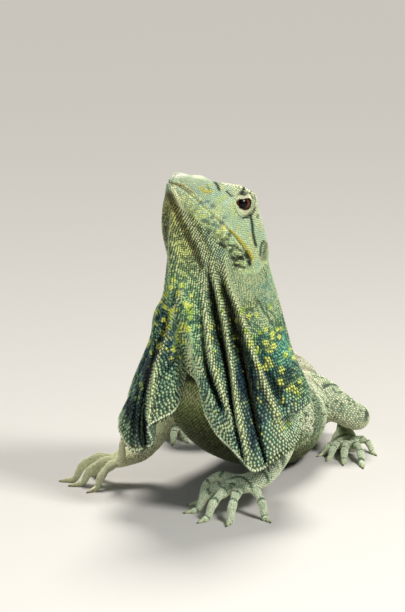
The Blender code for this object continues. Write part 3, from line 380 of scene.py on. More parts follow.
low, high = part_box("eye_left")
SHIFT = (np.array(low) + np.array(high)) / 2 / MM - from_head([CAD_EYE])[0]
VIEW_UP = np.array((0.0, math.sin(math.radians(CAMERA_UP)), math.cos(math.radians(CAMERA_UP))))
VIEW_BACK = np.array((0.0, -math.cos(math.radians(CAMERA_UP)), math.sin(math.radians(CAMERA_UP))))
DISTANCE = PICTURE_HIGH / PIXELS_PER_MM / 2 / (SENSOR / 2 / LENS)
AIM = np.array((0.0, 0.0, (FLOOR_ROW - PICTURE_HIGH / 2) / PIXELS_PER_MM / VIEW_UP[2]))


def to_picture(points):
    """Column and row of points in the picture."""
    away = np.asarray(points, float) - AIM
    scale = PIXELS_PER_MM * DISTANCE / (DISTANCE - away @ VIEW_BACK)
    return PICTURE_WIDE / 2 + away[..., 0] * scale, PICTURE_HIGH / 2 - (away @ VIEW_UP) * scale


def near_line(column, row, line):
    """Distance in the picture from places to a bent line, and the line's other values there."""
    line = np.asarray(line, float)
    best = np.full(np.shape(column), 1e9)
    values = np.zeros((*np.shape(column), line.shape[1] - 2))
    for a, b in zip(line[:-1], line[1:]):
        run = b[:2] - a[:2]
        t = np.clip(((column - a[0]) * run[0] + (row - a[1]) * run[1]) / (run @ run), 0.0, 1.0)
        off = np.hypot(column - a[0] - t * run[0], row - a[1] - t * run[1])
        closer = off < best
        best = np.where(closer, off, best)
        values = np.where(closer[..., None], a[2:] + t[..., None] * (b[2:] - a[2:]), values)
    return best, values


def colour(red, green, blue):
    """A colour as it looks on a screen, 0 to 255, as linear light."""
    c = np.array((red, green, blue), float) / 255
    return np.where(c <= 0.04045, c / 12.92, ((c + 0.055) / 1.055) ** 2.4)


# Meshes


def mesh_of(name, points, faces, paint=None, patches=None, flat=False):
    """An object from points in millimetres and lists of triangles and quads."""
    faces = [np.asarray(f) for f in faces]
    sides = np.concatenate([np.full(len(f), f.shape[1]) for f in faces])
    loops = np.concatenate([f.ravel() for f in faces])
    starts = np.concatenate(([0], np.cumsum(sides)[:-1]))
    mesh = bpy.data.meshes.new(name)
    mesh.vertices.add(len(points))
    mesh.vertices.foreach_set("co", ((np.asarray(points) + SHIFT) * MM).astype(np.float32).ravel())
    mesh.loops.add(len(loops))
    mesh.loops.foreach_set("vertex_index", loops.astype(np.int32))
    mesh.polygons.add(len(sides))
    mesh.polygons.foreach_set("loop_start", starts.astype(np.int32))
    mesh.update(calc_edges=True)
    mesh.validate()
    if paint is not None:
        give_paint(mesh, paint)
    if patches is not None:
        layer = mesh.uv_layers.new(name="OFBake")
        layer.data.foreach_set("uv", patches[loops].astype(np.float32).ravel())
    if not flat:
        mesh.shade_smooth()
    made = bpy.data.objects.new(name, mesh)
    bpy.context.scene.collection.objects.link(made)
    return made


def give_paint(mesh, paint):
    """One linear colour for each point."""
    layer = mesh.color_attributes.new("paint", "FLOAT_COLOR", "POINT")
    rgba = np.column_stack((np.clip(paint, 0, 1), np.ones(len(paint))))
    layer.data.foreach_set("color", rgba.astype(np.float32).ravel())


def read_points(mesh):
    """A mesh's points in millimetres, in the animal's frame."""
    co = np.empty(len(mesh.vertices) * 3, np.float32)
    mesh.vertices.foreach_get("co", co)
    return co.reshape(-1, 3).astype(float) / MM - SHIFT


def write_points(mesh, points):
    """Sets a mesh's points, given in millimetres."""
    mesh.vertices.foreach_set("co", ((points + SHIFT) * MM).astype(np.float32).ravel())
    mesh.update()


def normals_of(mesh):
    """A mesh's normals at its points."""
    n = np.empty(len(mesh.vertices) * 3, np.float32)
    mesh.vertex_normals.foreach_get("vector", n)
    return n.reshape(-1, 3).astype(float)


def tube(rings):
    """Points, quads and triangles of a closed tube, its ends closed by fans."""
    rows, sides = rings.shape[:2]
    points = np.concatenate((rings.reshape(-1, 3), [rings[0].mean(axis=0), rings[-1].mean(axis=0)]))
    i, j = np.meshgrid(np.arange(rows - 1) * sides, np.arange(sides), indexing="ij")
    k = (j + 1) % sides
    quads = np.stack((i + j, i + k, i + sides + k, i + sides + j), axis=-1).reshape(-1, 4)
    j, last = np.arange(sides), (rows - 1) * sides
    k = (j + 1) % sides
    front = np.stack((k, j, np.full(sides, rows * sides)), axis=-1)
    end = np.stack((last + j, last + k, np.full(sides, rows * sides + 1)), axis=-1)
    return points, quads, np.concatenate((front, end))


def merged(name, *tubes):
    """Closed tubes as one object, still separate inside it."""
    points, quads, triangles, start = [], [], [], 0
    for p, q, t in tubes:
        points.append(p)
        quads.append(q + start)
        triangles.append(t + start)
        start += len(p)
    return mesh_of(name, np.concatenate(points), [np.concatenate(quads), np.concatenate(triangles)])


def ball(centre, radius, sides=32, rows=20):
    """A closed sphere as a tube of rings."""
    lat = np.linspace(0.03, math.pi - 0.03, rows)
    round_rim = circle(turns(sides, 0), np.array([(1.0, 0, 0)]), np.array([(0, 1.0, 0)]))[0]
    rings = [centre + radius * (math.sin(a) * round_rim + math.cos(a) * UP) for a in lat]
    return tube(np.array(rings))


def settle(obj):
    """Replaces an object's mesh with what its modifiers make of it."""
    bpy.context.view_layer.update()
    graph = bpy.context.evaluated_depsgraph_get()
    done = bpy.data.meshes.new_from_object(obj.evaluated_get(graph))
    obj.modifiers.clear()
    obj.data = done
    return obj


def face_out(obj):
    """Turns a closed mesh's faces outward."""
    shape = bmesh.new()
    shape.from_mesh(obj.data)
    bmesh.ops.recalc_face_normals(shape, faces=shape.faces)
    if shape.calc_volume(signed=True) < 0:
        bmesh.ops.reverse_faces(shape, faces=shape.faces)
    shape.to_mesh(obj.data)
    shape.free()
    return obj


def remeshed(obj, size, rounds):
    """Overlapping closed tubes melted into one skin, then eased where they meet."""
    voxels = obj.modifiers.new("melt", "REMESH")
    voxels.mode, voxels.voxel_size = "VOXEL", size * MM
    ease = obj.modifiers.new("ease", "SMOOTH")
    ease.factor, ease.iterations = 0.5, rounds
    return settle(obj)


def boolean(obj, other, operation):
    """Joins or cuts two closed meshes and removes the second."""
    step = obj.modifiers.new("step", "BOOLEAN")
    step.operation, step.object, step.solver = operation, other, "MANIFOLD"
    settle(obj)
    bpy.data.objects.remove(other)


# Forms of the head, body and limbs


def head_rings():
    """Rings of the head from the snout back."""
    back = HEAD_FROM + (HEAD_TO - HEAD_FROM) * np.linspace(0.0, 1.0, HEAD_RINGS) ** 1.15
    crown, canthus, canthus_up, face, face_up, lip, mouth, jaw, jaw_up, throat = (
        smooth(HEAD_BACK, table, back) for table in HEAD_TABLES
    )
    zero = np.zeros(HEAD_RINGS)
    half = np.array((
        (zero, crown),
        (canthus * 0.55, (crown + canthus_up) / 2),
        (canthus, canthus_up),
        (face, face_up),
        (lip, mouth + 1.0),
        (lip - 0.2, mouth),
        ((lip + jaw) / 2, (mouth + jaw_up) / 2 - 0.4),
        (jaw, jaw_up),
        (jaw * 0.55, (jaw_up + throat) / 2),
        (zero, throat),
    ))
    rings = []
    for i in range(HEAD_RINGS):
        rim = np.vstack((half[:, :, i], half[-2:0:-1, :, i] * (-1, 1)))
        rings.append(np.column_stack((np.full(len(rim), back[i]), rim)))
    rings = rounder(np.array(rings), HEAD_SIDES)
    middle = rings[0].mean(axis=0)
    nose = [middle + (rings[0] - middle) * s - (d, 0, 0) for s, d in SNOUT_CAP]
    return from_head(np.concatenate((nose, rings)))


def body_rings(start, end, count):
    """Rings round the spine between two of its stations."""
    at = np.linspace(start, end, count)
    rows = spline(SPINE, at)
    ahead = unit(spline(SPINE, at - 0.05)[:, :3] - spline(SPINE, at + 0.05)[:, :3])
    yaw = np.radians(rows[:, 3])
    left = unit(np.column_stack((np.cos(yaw), -np.sin(yaw), np.zeros(count))))
    up = unit(np.cross(ahead, left))
    angle = turns(BODY_SIDES)
    across = np.sign(np.cos(angle)) * np.abs(np.cos(angle)) ** 0.92 * rows[:, 4:5]
    high = np.where(np.sin(angle) > 0, rows[:, 5:6], rows[:, 6:7]) * np.sin(angle)
    return on_floor(rows[:, None, :3] + across[..., None] * left[:, None] + high[..., None] * up[:, None])


def on_floor(points):
    """Points that would sink below the floor lie on it."""
    return np.concatenate((points[..., :2], np.maximum(points[..., 2:], 0.0)), axis=-1)


def tail_rings():
    """Rings of the whole tail, resting on the floor."""
    share = np.linspace(0.0, 1.0, 201)
    turn = np.radians(smooth(TAIL_TURN_AT, TAIL_TURN, share))
    step = TAIL_LENGTH / (len(share) - 1)
    along = np.cumsum(np.column_stack((np.sin(turn), np.cos(turn))) * step, axis=0)
    first = spline(SPINE, [TORSO_END])[0]
    at = np.linspace(0.0, 1.0, TAIL_RINGS)
    radius = smooth(TAIL_AT, TAIL_RADIUS, at)
    lift = smooth((0.0, 0.05, 1.0), (first[2] - radius[0], 0.0, 0.0), at)
    heading = np.interp(at, share, turn)
    centre = np.column_stack((
        first[0] + np.interp(at, share, along[:, 0]),
        first[1] + np.interp(at, share, along[:, 1]),
        radius - FLOOR_SINK * np.minimum(1.0, radius / 3) + lift,
    ))
    left = np.column_stack((np.cos(heading), -np.sin(heading), np.zeros(TAIL_RINGS)))
    return on_floor(centre[:, None] + radius[:, None, None] * circle(turns(TAIL_SIDES), left, UP[None]))


def limb_rings(rows, start, end, count, grow=0.0):
    """Rings along a limb between two of its stations, turned so that the last lies level."""
    fine = np.arange(0.0, len(rows) - 1 + 1e-9, LIMB_STEP)
    ahead = unit(np.gradient(spline(rows, fine)[:, :3], axis=0))
    side = np.empty_like(ahead)
    side[-1] = unit(np.cross(ahead[-1], UP))
    for i in range(len(fine) - 2, -1, -1):
        across = side[i + 1] - (side[i + 1] @ ahead[i]) * ahead[i]
        side[i] = across / np.linalg.norm(across)
    angle = turns(LIMB_SIDES)
    rings = []
    for at in np.linspace(start, end, count):
        k = min(len(fine) - 1, round(at / LIMB_STEP))
        row = spline(rows, [at])[0]
        up = np.cross(side[k], ahead[k])
        size = np.maximum(row[3:5] + grow, 0.4)
        offset = np.cos(angle)[:, None] * side[k] * size[0] + np.sin(angle)[:, None] * up * size[1]
        rings.append(row[:3] + offset)
    return on_floor(np.array(rings))


def digit_path(root, knuckle, tip, radius, count=26):
    """Middle line and radius of a toe: a pad at each joint, thinner towards the claw."""
    root, knuckle, tip = (np.array(p, float) for p in (root, knuckle, tip))
    radius = radius * DIGIT_SLIM
    if tip[2] < RAISED_TIP:
        tip[2] = radius * 0.6 - FLOOR_SINK
    path = spline(np.array((root, knuckle, tip)), np.linspace(0, 2, count))
    t = np.linspace(0, 1, count)
    if tip[2] < RAISED_TIP:
        level = ramp(t, 0.72, 0.9)
        path[:, 2] = path[:, 2] * (1 - level) + np.minimum(path[:, 2], tip[2] + PAD_RISE) * level
    size = radius * (1.12 - 0.42 * t) * (1.0 + 0.12 * np.cos(2 * math.pi * (t * 3.0 - 0.05)))
    size[-2:] *= (0.9, 0.72)
    return path, size


def hoops(path, size, sides=20):
    """Round rings of given sizes across a path."""
    ahead = unit(np.gradient(path, axis=0))
    side = unit(np.cross(ahead, (0.02, 0.01, 1.0)))
    ring = circle(turns(sides) - math.pi / 2, side, np.cross(side, ahead))
    return on_floor(path[:, None] + size[:, None, None] * ring)


def claw_rings(*digit):
    """Rings of a claw: a tapered horn, hooked down, with its base sunk in the toe."""
    path, _ = digit_path(*digit, CLAW_RINGS)
    tip, run = path[-1], path[-1] - path[-3]
    flat = unit(run) if tip[2] > RAISED_TIP else unit(run * (1, 1, 0))
    reach = CLAW_LENGTH * min(1.0, digit[-1] / 1.9)
    hook = np.array((
        tip - unit(run) * 1.2,
        tip + flat * reach * 0.45 - UP * 0.05 * reach,
        tip + flat * reach * 0.85 - UP * reach * CLAW_DROP,
    ))
    hook[2][2] = max(hook[2][2], 0.3)
    at = np.linspace(0, 2, CLAW_RINGS)
    size = CLAW_RADIUS * smooth((0, 0.7, 1.4, 2), (1.0, 0.86, 0.5, 0.1), at)
    return hoops(spline(hook, at), size, CLAW_SIDES)


# The frill


def groove_depth(grooves, columns, down):
    """How deep the folds lie at each column and share of the way down, and how near a fold's bottom."""
    depth, near = np.zeros((len(down), len(columns))), np.zeros((len(down), len(columns)))
    for place, lean, width, deep, start, deepest, end in grooves:
        share = smooth((0.0, start, deepest, end), (0.0, 0.0, 1.0, 0.0), down)
        off = (columns[None, :] - place - lean * (down[:, None] - deepest)) / width
        depth += deep * share[:, None] * np.exp(-np.abs(off) ** 1.7)
        near = np.maximum(near, share[:, None] * min(1.0, deep / 3) * bell(off, 0.9))
    return depth, near


def frill_middle(side, columns, down):
    """The sheet's middle surface, rows down from the root, its way out, folds and root places."""
    hem, grooves = (LEFT_HEM, LEFT_GROOVES) if side > 0 else (RIGHT_HEM, RIGHT_GROOVES)
    rows = spline(hem, columns)
    out = unit(np.column_stack((rows[:, :2] - FRILL_AXIS, np.zeros(len(columns)))))
    both = (FRILL_ROOT, FRILL_LANDING)
    root, guide = (from_head(spline(np.array(t) * (1, side, 1), rows[:, 4])) for t in both)
    v = down[:, None]
    late = v ** rows[None, :, 3]
    flare = np.stack((late, late, np.broadcast_to(v, late.shape)), axis=-1)
    point = root + (rows[:, :3] - root) * flare
    ledge = smooth(LEDGE_AT, LEDGE_OUT, down)[:, None]
    swell = FRILL_BULGE * np.sin(math.pi * v**0.9) + rows[None, :, 5] * ledge
    if side < 0:
        shoulder = smooth(SHOULDER_ROWS, SHOULDER_OUT, columns)
        swell = swell + shoulder[None, :] * bell(v - SHOULDER_AT, SHOULDER_WIDE)
    depth, near = groove_depth(grooves, columns, down)
    column, row = to_picture(point + out * swell[..., None])
    seen = ramp(out @ VIEW_BACK, 0.05, 0.35)[None, :] * ramp(down, 0.02, 0.2)[:, None]
    ridge, folded = np.zeros_like(near), np.zeros_like(near)
    for line in FOLDS:
        off, values = near_line(column, row, line)
        shape = bell(off, values[..., 0]) * seen
        folded += values[..., 1] * shape
        near = np.maximum(near, shape * np.clip(values[..., 1] / 3.2, 0, 1))
        ridge = np.maximum(ridge, shape * np.clip(-values[..., 1] / 1.2, 0, 1))
    ripple = 0.16 * np.sin(columns * 5.1)[None, :] * ramp(down, 0.5, 1.0)[:, None]
    point = point + out * (swell - depth + ripple)[..., None] + folded[..., None] * np.array((0.0, 1.0, 0.0))
    return point, out, near - ridge, guide


def frill_sheet(side, columns, head):
    """Outer face from the jaw down to the hem, inner face back up, and what the paint needs."""
    down = np.linspace(0.0, 1.0, FRILL_ROWS)
    middle, out, near, guide = frill_middle(side, columns, down)
    half = FRILL_THICK / 2 * smooth((0.0, 0.9, 1.0), (1.0, 1.0, 0.45), down)[:, None, None]
    outer, inner = middle + out * half, middle - out * half
    start = unit(outer[SKIRT_ROW + 4] - outer[SKIRT_ROW - 4])
    landing, _, _ = on_skin(head, guide)
    for _ in range(8):
        landing[1:-1] = (landing[:-2] + 2 * landing[1:-1] + landing[2:]) / 4
    landing, normal, _ = on_skin(head, landing)
    landing = landing - normal * 0.12
    leave = outer[SKIRT_ROW] - landing
    reach = np.linalg.norm(leave, axis=1)[:, None]
    leave = unit(leave - (leave * normal).sum(axis=1)[:, None] * normal)
    t = np.linspace(0.0, 1.0, 18)[:-1][:, None, None]
    skirt = (
        (2 * t**3 - 3 * t**2 + 1) * landing
        + (t**3 - 2 * t**2 + t) * (leave * reach)
        + (3 * t**2 - 2 * t**3) * outer[SKIRT_ROW]
        + (t**3 - t**2) * (start * reach)
    )
    face = np.concatenate((skirt, outer[SKIRT_ROW:]))
    near = np.concatenate((near[SKIRT_ROW] * t[:, :, 0], near[SKIRT_ROW:]))
    return face, inner[::2], near


# Scales


class Scales:
    """Places of scales gathered region by region, each with its lie, size and colours."""

    def __init__(self):
        self.rows = []

    def add(self, name, place, lie, normal, size, crown, edge, spot):
        size = [np.broadcast_to(s, len(place))[:, None, None] for s in size]
        self.rows.append((name, place, unit(lie), unit(normal), size, crown, edge, spot))

    def places(self):
        """All places with the colour of the skin under them."""
        tints = [(r[5] + r[6]) / 2 for r in self.rows]
        return np.concatenate([r[1] for r in self.rows]), np.concatenate(tints)

    def build(self, material):
        """Closed, keeled scales as one joined mesh for each region."""
        step, shade = SCALE_POINTS[None], SCALE_SHADE[None, :, None]
        for name, place, lie, normal, (long, wide, high), crown, edge, spot in self.rows:
            across = unit(np.cross(normal, lie))
            points = place[:, None] + step[..., 0:1] * (long * lie[:, None])
            points = points + step[..., 1:2] * (wide * across[:, None])
            points = points + step[..., 2:3] * (high * normal[:, None])
            faces = SCALE_FACES[None] + len(SCALE_POINTS) * np.arange(len(place))[:, None, None]
            # Painted highlight and shade: each scale runs from its lighter crown colour at the keel to its
            # darker edge colour at the rim.
            paint = edge[:, None] * (1 - shade) + crown[:, None] * shade
            patch = spot[:, None] + step[..., :2] * PATCH
            flat_lists = [a.reshape(-1, a.shape[-1]) for a in (on_floor(points), faces, paint, patch)]
            made = mesh_of(f"{name}_scales", flat_lists[0], [flat_lists[1]], *flat_lists[2:], flat=True)
            made.data.materials.append(material)
            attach(made, "root")


def lattice(grid, pitch, pitch_far, spacing):
    """Places in offset rows over a grid of points: their rows, columns and widths."""
    rows, columns = grid.shape[:2]
    down = np.linalg.norm(np.diff(grid, axis=0), axis=-1).mean(axis=1)
    length = np.concatenate(([0.0], np.cumsum(down)))
    closed = np.array_equal(grid[:, 0], grid[:, -1])
    at, number, count, out = 0.0, 0, None, []
    while at < length[-1]:
        size = pitch + (pitch_far - pitch) * at / length[-1]
        i = np.interp(at, length, np.arange(rows))
        low = min(int(i), rows - 2)
        line = grid[low] + (grid[low + 1] - grid[low]) * (i - low)
        run = np.concatenate(([0.0], np.cumsum(np.linalg.norm(np.diff(line, axis=0), axis=1))))
        wanted = max(4, run[-1] / size)
        if count is None or not 0.86 < wanted / count < 1.18:
            count = int(round(wanted))
        j = (np.arange(count) + 0.5 * (number % 2) + RNG.normal(0, JITTER, count) + 0.25) / count
        j = j % 1.0 if closed else np.clip(j, 0.0, 1.0)
        column = np.interp(j * run[-1], run, np.arange(columns))
        strayed = RNG.normal(0, JITTER, count) * size / max(down[low], 1e-6)
        row = np.clip(i + strayed, 0, rows - 1.001)
        out.append((row, column, np.full(count, run[-1] / count)))
        at += size * spacing
        number += 1
    return np.concatenate(out, axis=1)


def read_grid(grid, row, column):
    """Points, direction down the rows and normal of a grid at fractional rows and columns."""
    i = np.clip(row.astype(int), 0, grid.shape[0] - 2)
    j = np.clip(column.astype(int), 0, grid.shape[1] - 2)
    u, v = (row - i)[:, None], (column - j)[:, None]
    a, b, c, d = grid[i, j], grid[i, j + 1], grid[i + 1, j], grid[i + 1, j + 1]
    point = a * (1 - u) * (1 - v) + b * (1 - u) * v + c * u * (1 - v) + d * u * v
    lie = (c - a) * (1 - v) + (d - b) * v
    across = (b - a) * (1 - u) + (d - c) * u
    return point, np.cross(across, lie)


def spread(grid, pitch, pitch_far, spacing=0.72, reach=2.0):
    """Places of scales over a grid: row, column, width, point, lie and normal."""
    row, column, wide = lattice(grid, pitch, pitch_far, spacing)
    point, normal = read_grid(grid, row, column)
    return row, column, wide, point, flow(grid, row, column, reach), normal


def flow(grid, row, column, reach=2.0):
    """Direction down the rows read over a longer step, which is steadier than one face's."""
    ahead = read_grid(grid, np.minimum(row + reach, grid.shape[0] - 1.001), column)[0]
    return ahead - read_grid(grid, np.maximum(row - reach, 0), column)[0]


def on_skin(skin, places, limit=0.9):
    """Nearest points of the skin and its normals, and which places lie close enough to it."""
    hits = [skin.find_nearest(Vector(p)) for p in places]
    point, normal, away = (np.array([h[k] for h in hits]) for k in (0, 1, 3))
    return point, normal, away < limit


def laid(lie, normal):
    """Directions turned down into the surface."""
    return lie - (lie * normal).sum(axis=1)[:, None] * normal


def tree_of(obj):
    """A search tree over an object's faces, in the animal's frame."""
    points = read_points(obj.data)
    return BVHTree.FromPolygons([tuple(p) for p in points], [tuple(f.vertices) for f in obj.data.polygons])


# Paint

OLIVE, MINT, PALE = colour(132, 142, 80), colour(190, 210, 168), colour(214, 228, 194)
CREAM, TEAL_PALE, YELLOW = colour(222, 222, 180), colour(170, 208, 184), colour(214, 224, 112)
LIME, LIP_YELLOW, STRAW = colour(156, 184, 80), colour(200, 184, 44), colour(206, 214, 132)
DARK, BELLY = colour(18, 24, 14), colour(150, 166, 104)
FLANK, PINK = colour(196, 210, 172), colour(238, 216, 190)
HAND_PALE, HAND_DARK, HAND_CREAM = colour(214, 232, 192), colour(26, 54, 48), colour(238, 242, 188)

# Broad washes over throat and frill: column, row, half length, half width, turn, colour, strength. The dark
# navy washes along the grooves of the folds and the dark green one under the ledge are painted shade.
WASHES = (
    (172, 215, 34, 12, 96, colour(158, 152, 82), 0.88), (186, 250, 40, 17, 92, colour(144, 148, 88), 0.9),
    (166, 245, 40, 5, 90, colour(62, 58, 34), 0.85), (190, 300, 34, 22, 92, colour(128, 156, 112), 0.85),
    (190, 345, 26, 16, 92, colour(122, 158, 114), 0.8), (204, 345, 40, 9, 84, colour(146, 178, 130), 0.8),
    (235, 290, 34, 8, 64, colour(210, 224, 166), 0.9), (249, 283, 30, 17, 50, colour(204, 222, 170), 0.9),
    (268, 284, 30, 8, 76, colour(150, 202, 178), 0.85), (250, 306, 14, 9, 20, colour(140, 154, 90), 0.7),
    (258, 322, 24, 12, 40, colour(164, 194, 146), 0.85), (266, 352, 26, 20, 60, colour(44, 98, 84), 0.92),
    # The second wash below is painted shade: dark green under the ledge.
    (286, 350, 26, 10, 66, colour(104, 168, 146), 0.85), (276, 386, 22, 12, 50, colour(22, 62, 54), 0.9),
    (297, 390, 24, 12, 70, colour(84, 118, 72), 0.85), (222, 290, 22, 4, 66, colour(128, 156, 40), 0.85),
    # Both washes below are painted shade: dark navy along a groove of the left half.
    (237, 336, 30, 7, 64, colour(12, 36, 36), 0.92), (250, 396, 46, 10, 72, colour(4, 40, 60), 0.96),
    (222, 372, 34, 5, 72, colour(126, 164, 134), 0.75), (238, 384, 26, 4.5, 76, colour(20, 62, 84), 0.85),
    # The first wash below is painted shade: dark navy at the foot of a groove.
    (258, 436, 26, 8, 70, colour(4, 50, 76), 0.95), (244, 430, 32, 5.5, 74, colour(34, 84, 98), 0.9),
    (272, 430, 34, 8, 66, colour(126, 196, 194), 0.88), (290, 430, 24, 12, 66, colour(196, 255, 250), 0.95),
    (216, 392, 30, 6, 62, colour(150, 190, 154), 0.85), (228, 426, 26, 8, 52, colour(160, 206, 178), 0.88),
    (197, 372, 14, 6, 60, colour(184, 212, 164), 0.85),
    (166, 394, 30, 15, 104, colour(118, 164, 128), 0.92),
    # Painted shade: the dark navy washes on the next four lines lie along the right half's pleats.
    (163.5, 322, 38, 8.5, 106, colour(20, 66, 84), 0.92),
    (184, 328, 34, 7.5, 100, colour(112, 148, 112), 0.8), (146, 366, 34, 8, 108, colour(8, 36, 54), 0.94),
    (130, 412, 34, 10, 106, colour(10, 38, 52), 0.95), (125, 434, 13, 6, 90, colour(128, 172, 150), 0.8),
    (143, 430, 26, 6, 100, colour(24, 54, 54), 0.88),
)
# Lines over head and frill: colour, half width, strength, then the places they pass. The pale lines along the
# folds' ridges and along the jaw's edge are painted highlight; the dark band under the jaw and the dark line
# under the ledge are painted shade.
LINES = (
    # Painted shade: the dark band along the underside of the jaw.
    (colour(64, 56, 28), 3.4, 0.85, (169, 194), (175, 208), (182, 223), (188, 236), (194, 248), (200, 262),
     (204, 276)),
    (colour(126, 138, 82), 2.6, 0.62, (190, 213), (197.5, 228), (204, 242), (210, 255), (217, 272)),
    (colour(58, 62, 34), 1.1, 0.7, (199, 226), (206, 240), (213, 254), (221, 268)),
    # Painted highlight: the pale line along the jaw's edge.
    (colour(234, 236, 188), 2.0, 0.95, (173, 188), (180, 203), (187, 217), (192.5, 227), (197.5, 238),
     (203, 250), (210, 264)),
    # Painted highlight: the next five pale lines follow the ridges of the folds.
    (colour(218, 228, 186), 1.5, 0.9, (210, 262), (213.5, 279), (217, 294), (220.2, 309), (223.6, 323),
     (226.4, 338), (229, 352), (231.5, 367), (233, 382), (235.5, 400)),
    (colour(218, 228, 186), 1.6, 0.9, (218, 262), (226, 279), (231.5, 294), (238, 309), (242.4, 323),
     (246.9, 338), (252, 352), (258, 367), (263, 382), (268.5, 396)),
    (colour(200, 216, 166), 1.6, 0.7, (203, 270), (204.6, 312), (207, 330), (209.5, 350), (213, 367),
     (219, 384), (226, 404)),
    (colour(202, 218, 170), 1.5, 0.8, (182.5, 291), (173.7, 309), (166.4, 338), (157, 360), (153, 377),
     (150, 397), (149, 419)),
    (colour(204, 220, 170), 1.3, 0.75, (190, 345), (190, 370)),
    (colour(40, 52, 34), 1.2, 0.75, (257, 301), (264, 311), (272, 324)),
    (colour(70, 84, 50), 1.0, 0.6, (253, 296), (262, 303), (271, 312), (280, 326)),
    # Painted shadow: the dark line under the ledge of the frill's lower layer.
    (colour(18, 36, 28), 1.4, 0.9, (279, 403), (288, 406.5), (297, 412), (305, 414)),
    (LIP_YELLOW, 1.1, 0.95, (200, 187), (203.5, 190.5), (208, 192.3), (211.5, 190.5)),
    (LIP_YELLOW, 0.8, 0.6, (206, 187.2), (209.5, 185)),
    (DARK, 1.5, 0.95, (209, 177), (214, 181), (217.5, 186), (219, 190)),
    (DARK, 0.9, 0.5, (216, 181), (221, 184)),
    (DARK, 1.1, 0.9, (226.5, 191), (229, 194), (232, 196.5)),
    (DARK, 0.9, 0.7, (222, 240), (226, 246)),
    (DARK, 1.0, 0.95, (234, 254), (240.7, 259.3), (247.9, 257.9), (246.4, 252)),
    (DARK, 1.1, 0.95, (246.4, 250.7), (248.6, 256.4), (250, 263.6)),
    (DARK, 0.9, 0.8, (231, 259), (236, 264), (241, 265.5)),
    (DARK, 0.9, 0.85, (227.9, 245), (235, 246), (240.7, 251)),
    (DARK, 0.8, 0.6, (217, 234), (220, 239)),
    (colour(96, 104, 70), 0.7, 0.65, (234.3, 206), (236.5, 212), (239.3, 215.9), (244, 218.2)),
    (DARK, 1.1, 0.95, (245, 184), (243.5, 188), (242, 192)),
    (DARK, 1.1, 0.95, (241, 192), (247, 194), (252, 192)),
    (DARK, 1.3, 0.95, (254.5, 208), (252.5, 213), (248, 216.5), (243, 217.5)),
    (DARK, 1.5, 0.98, (250.5, 216), (252, 224), (252.7, 232), (254, 239), (256, 246)),
    (DARK, 1.2, 0.85, (264, 241), (261.5, 244), (260.5, 249), (260, 256)),
    (colour(86, 86, 42), 2.2, 0.75, (266, 244), (264.5, 250), (264, 258)),
    (colour(150, 112, 40), 0.9, 0.85, (171, 184), (176, 183.5), (181, 184.5), (187, 188.5), (192, 192)),
    (LIP_YELLOW, 1.3, 0.98, (230, 230), (237.5, 237), (243, 243), (248, 250), (252.5, 258)),
)
# Yellow and lime spots on the frill: column, row, size
SPOTS = (
    (240, 312, 2.6), (248.6, 316, 2.6), (256.7, 315, 2.4), (270, 306, 2.2), (246, 331, 2.6),
     (252, 336, 2.2),
    (260, 332, 2.4), (265.5, 329, 2.4), (272, 333, 2.4), (277, 329, 2.2), (281, 328, 2.0), (266, 343, 2.8),
    (273.5, 346, 3.0), (270, 351, 2.6), (250, 344, 3.2), (257, 350, 3.4), (268, 359, 2.8), (259, 367, 3.0),
    (265.5, 367, 3.0), (271, 364, 2.6), (281.6, 370, 3.2), (285.3, 355, 3.0), (290, 349, 2.2),
     (293, 358, 2.2),
    (280, 382, 3.4), (292, 387, 3.0), (295.5, 391, 2.6), (288, 389, 2.4), (300, 382, 2.0),
     (298.5, 395, 2.4),
    (283, 400, 2.2), (272, 338, 2.2), (279, 337, 2.2), (279, 414, 2.0), (288, 423, 2.6), (283, 428, 2.4),
    (279, 421.5, 2.2), (262.5, 434, 1.8), (222.5, 311, 2.0), (234, 337, 1.8), (237, 320, 2.2),
     (210.5, 327, 2.0),
    (211, 338, 2.0), (214.8, 351, 1.8), (170, 311.6, 2.8), (175, 309.4, 2.6), (165, 307, 2.8),
     (164, 320.4, 2.8),
    (168.6, 326.3, 3.2), (162.7, 333, 3.2), (170, 317, 2.6), (159, 345.4, 2.8), (148.8, 341, 2.6),
     (147.5, 345, 2.2),
    (188.4, 307.2, 3.4), (184.8, 325, 2.8), (188.4, 328.5, 2.8), (179.6, 330, 2.6), (177.4, 336.6, 2.4),
     (184, 341, 2.6),
    (173.7, 348.3, 2.8), (171.5, 358.6, 2.2), (179, 357, 2.2), (185.5, 303, 2.4), (190.6, 312, 2.2),
     (157.6, 311.6, 2.4),
    (160.5, 301.4, 2.4), (166.4, 294, 2.6), (171.5, 286.7, 2.6), (178.2, 292.6, 2.6), (173.7, 279.3, 2.4),
     (182, 285, 2.2),
    (172.9, 309.5, 2.6), (164.4, 307, 2.4), (157, 303.5, 2.4), (182.2, 324.7, 2.6), (186.5, 329.8, 2.6),
     (178, 341, 2.4),
    (159.3, 346, 2.6), (173.7, 347.6, 2.6), (166, 350, 2.2), (192, 296, 2.2), (189.5, 318, 2.2),
     (243, 309, 2.2),
    (156, 324, 2.2), (142, 356, 2.0), (141, 384, 1.8), (136, 398, 1.6), (152, 352, 2.0),
)
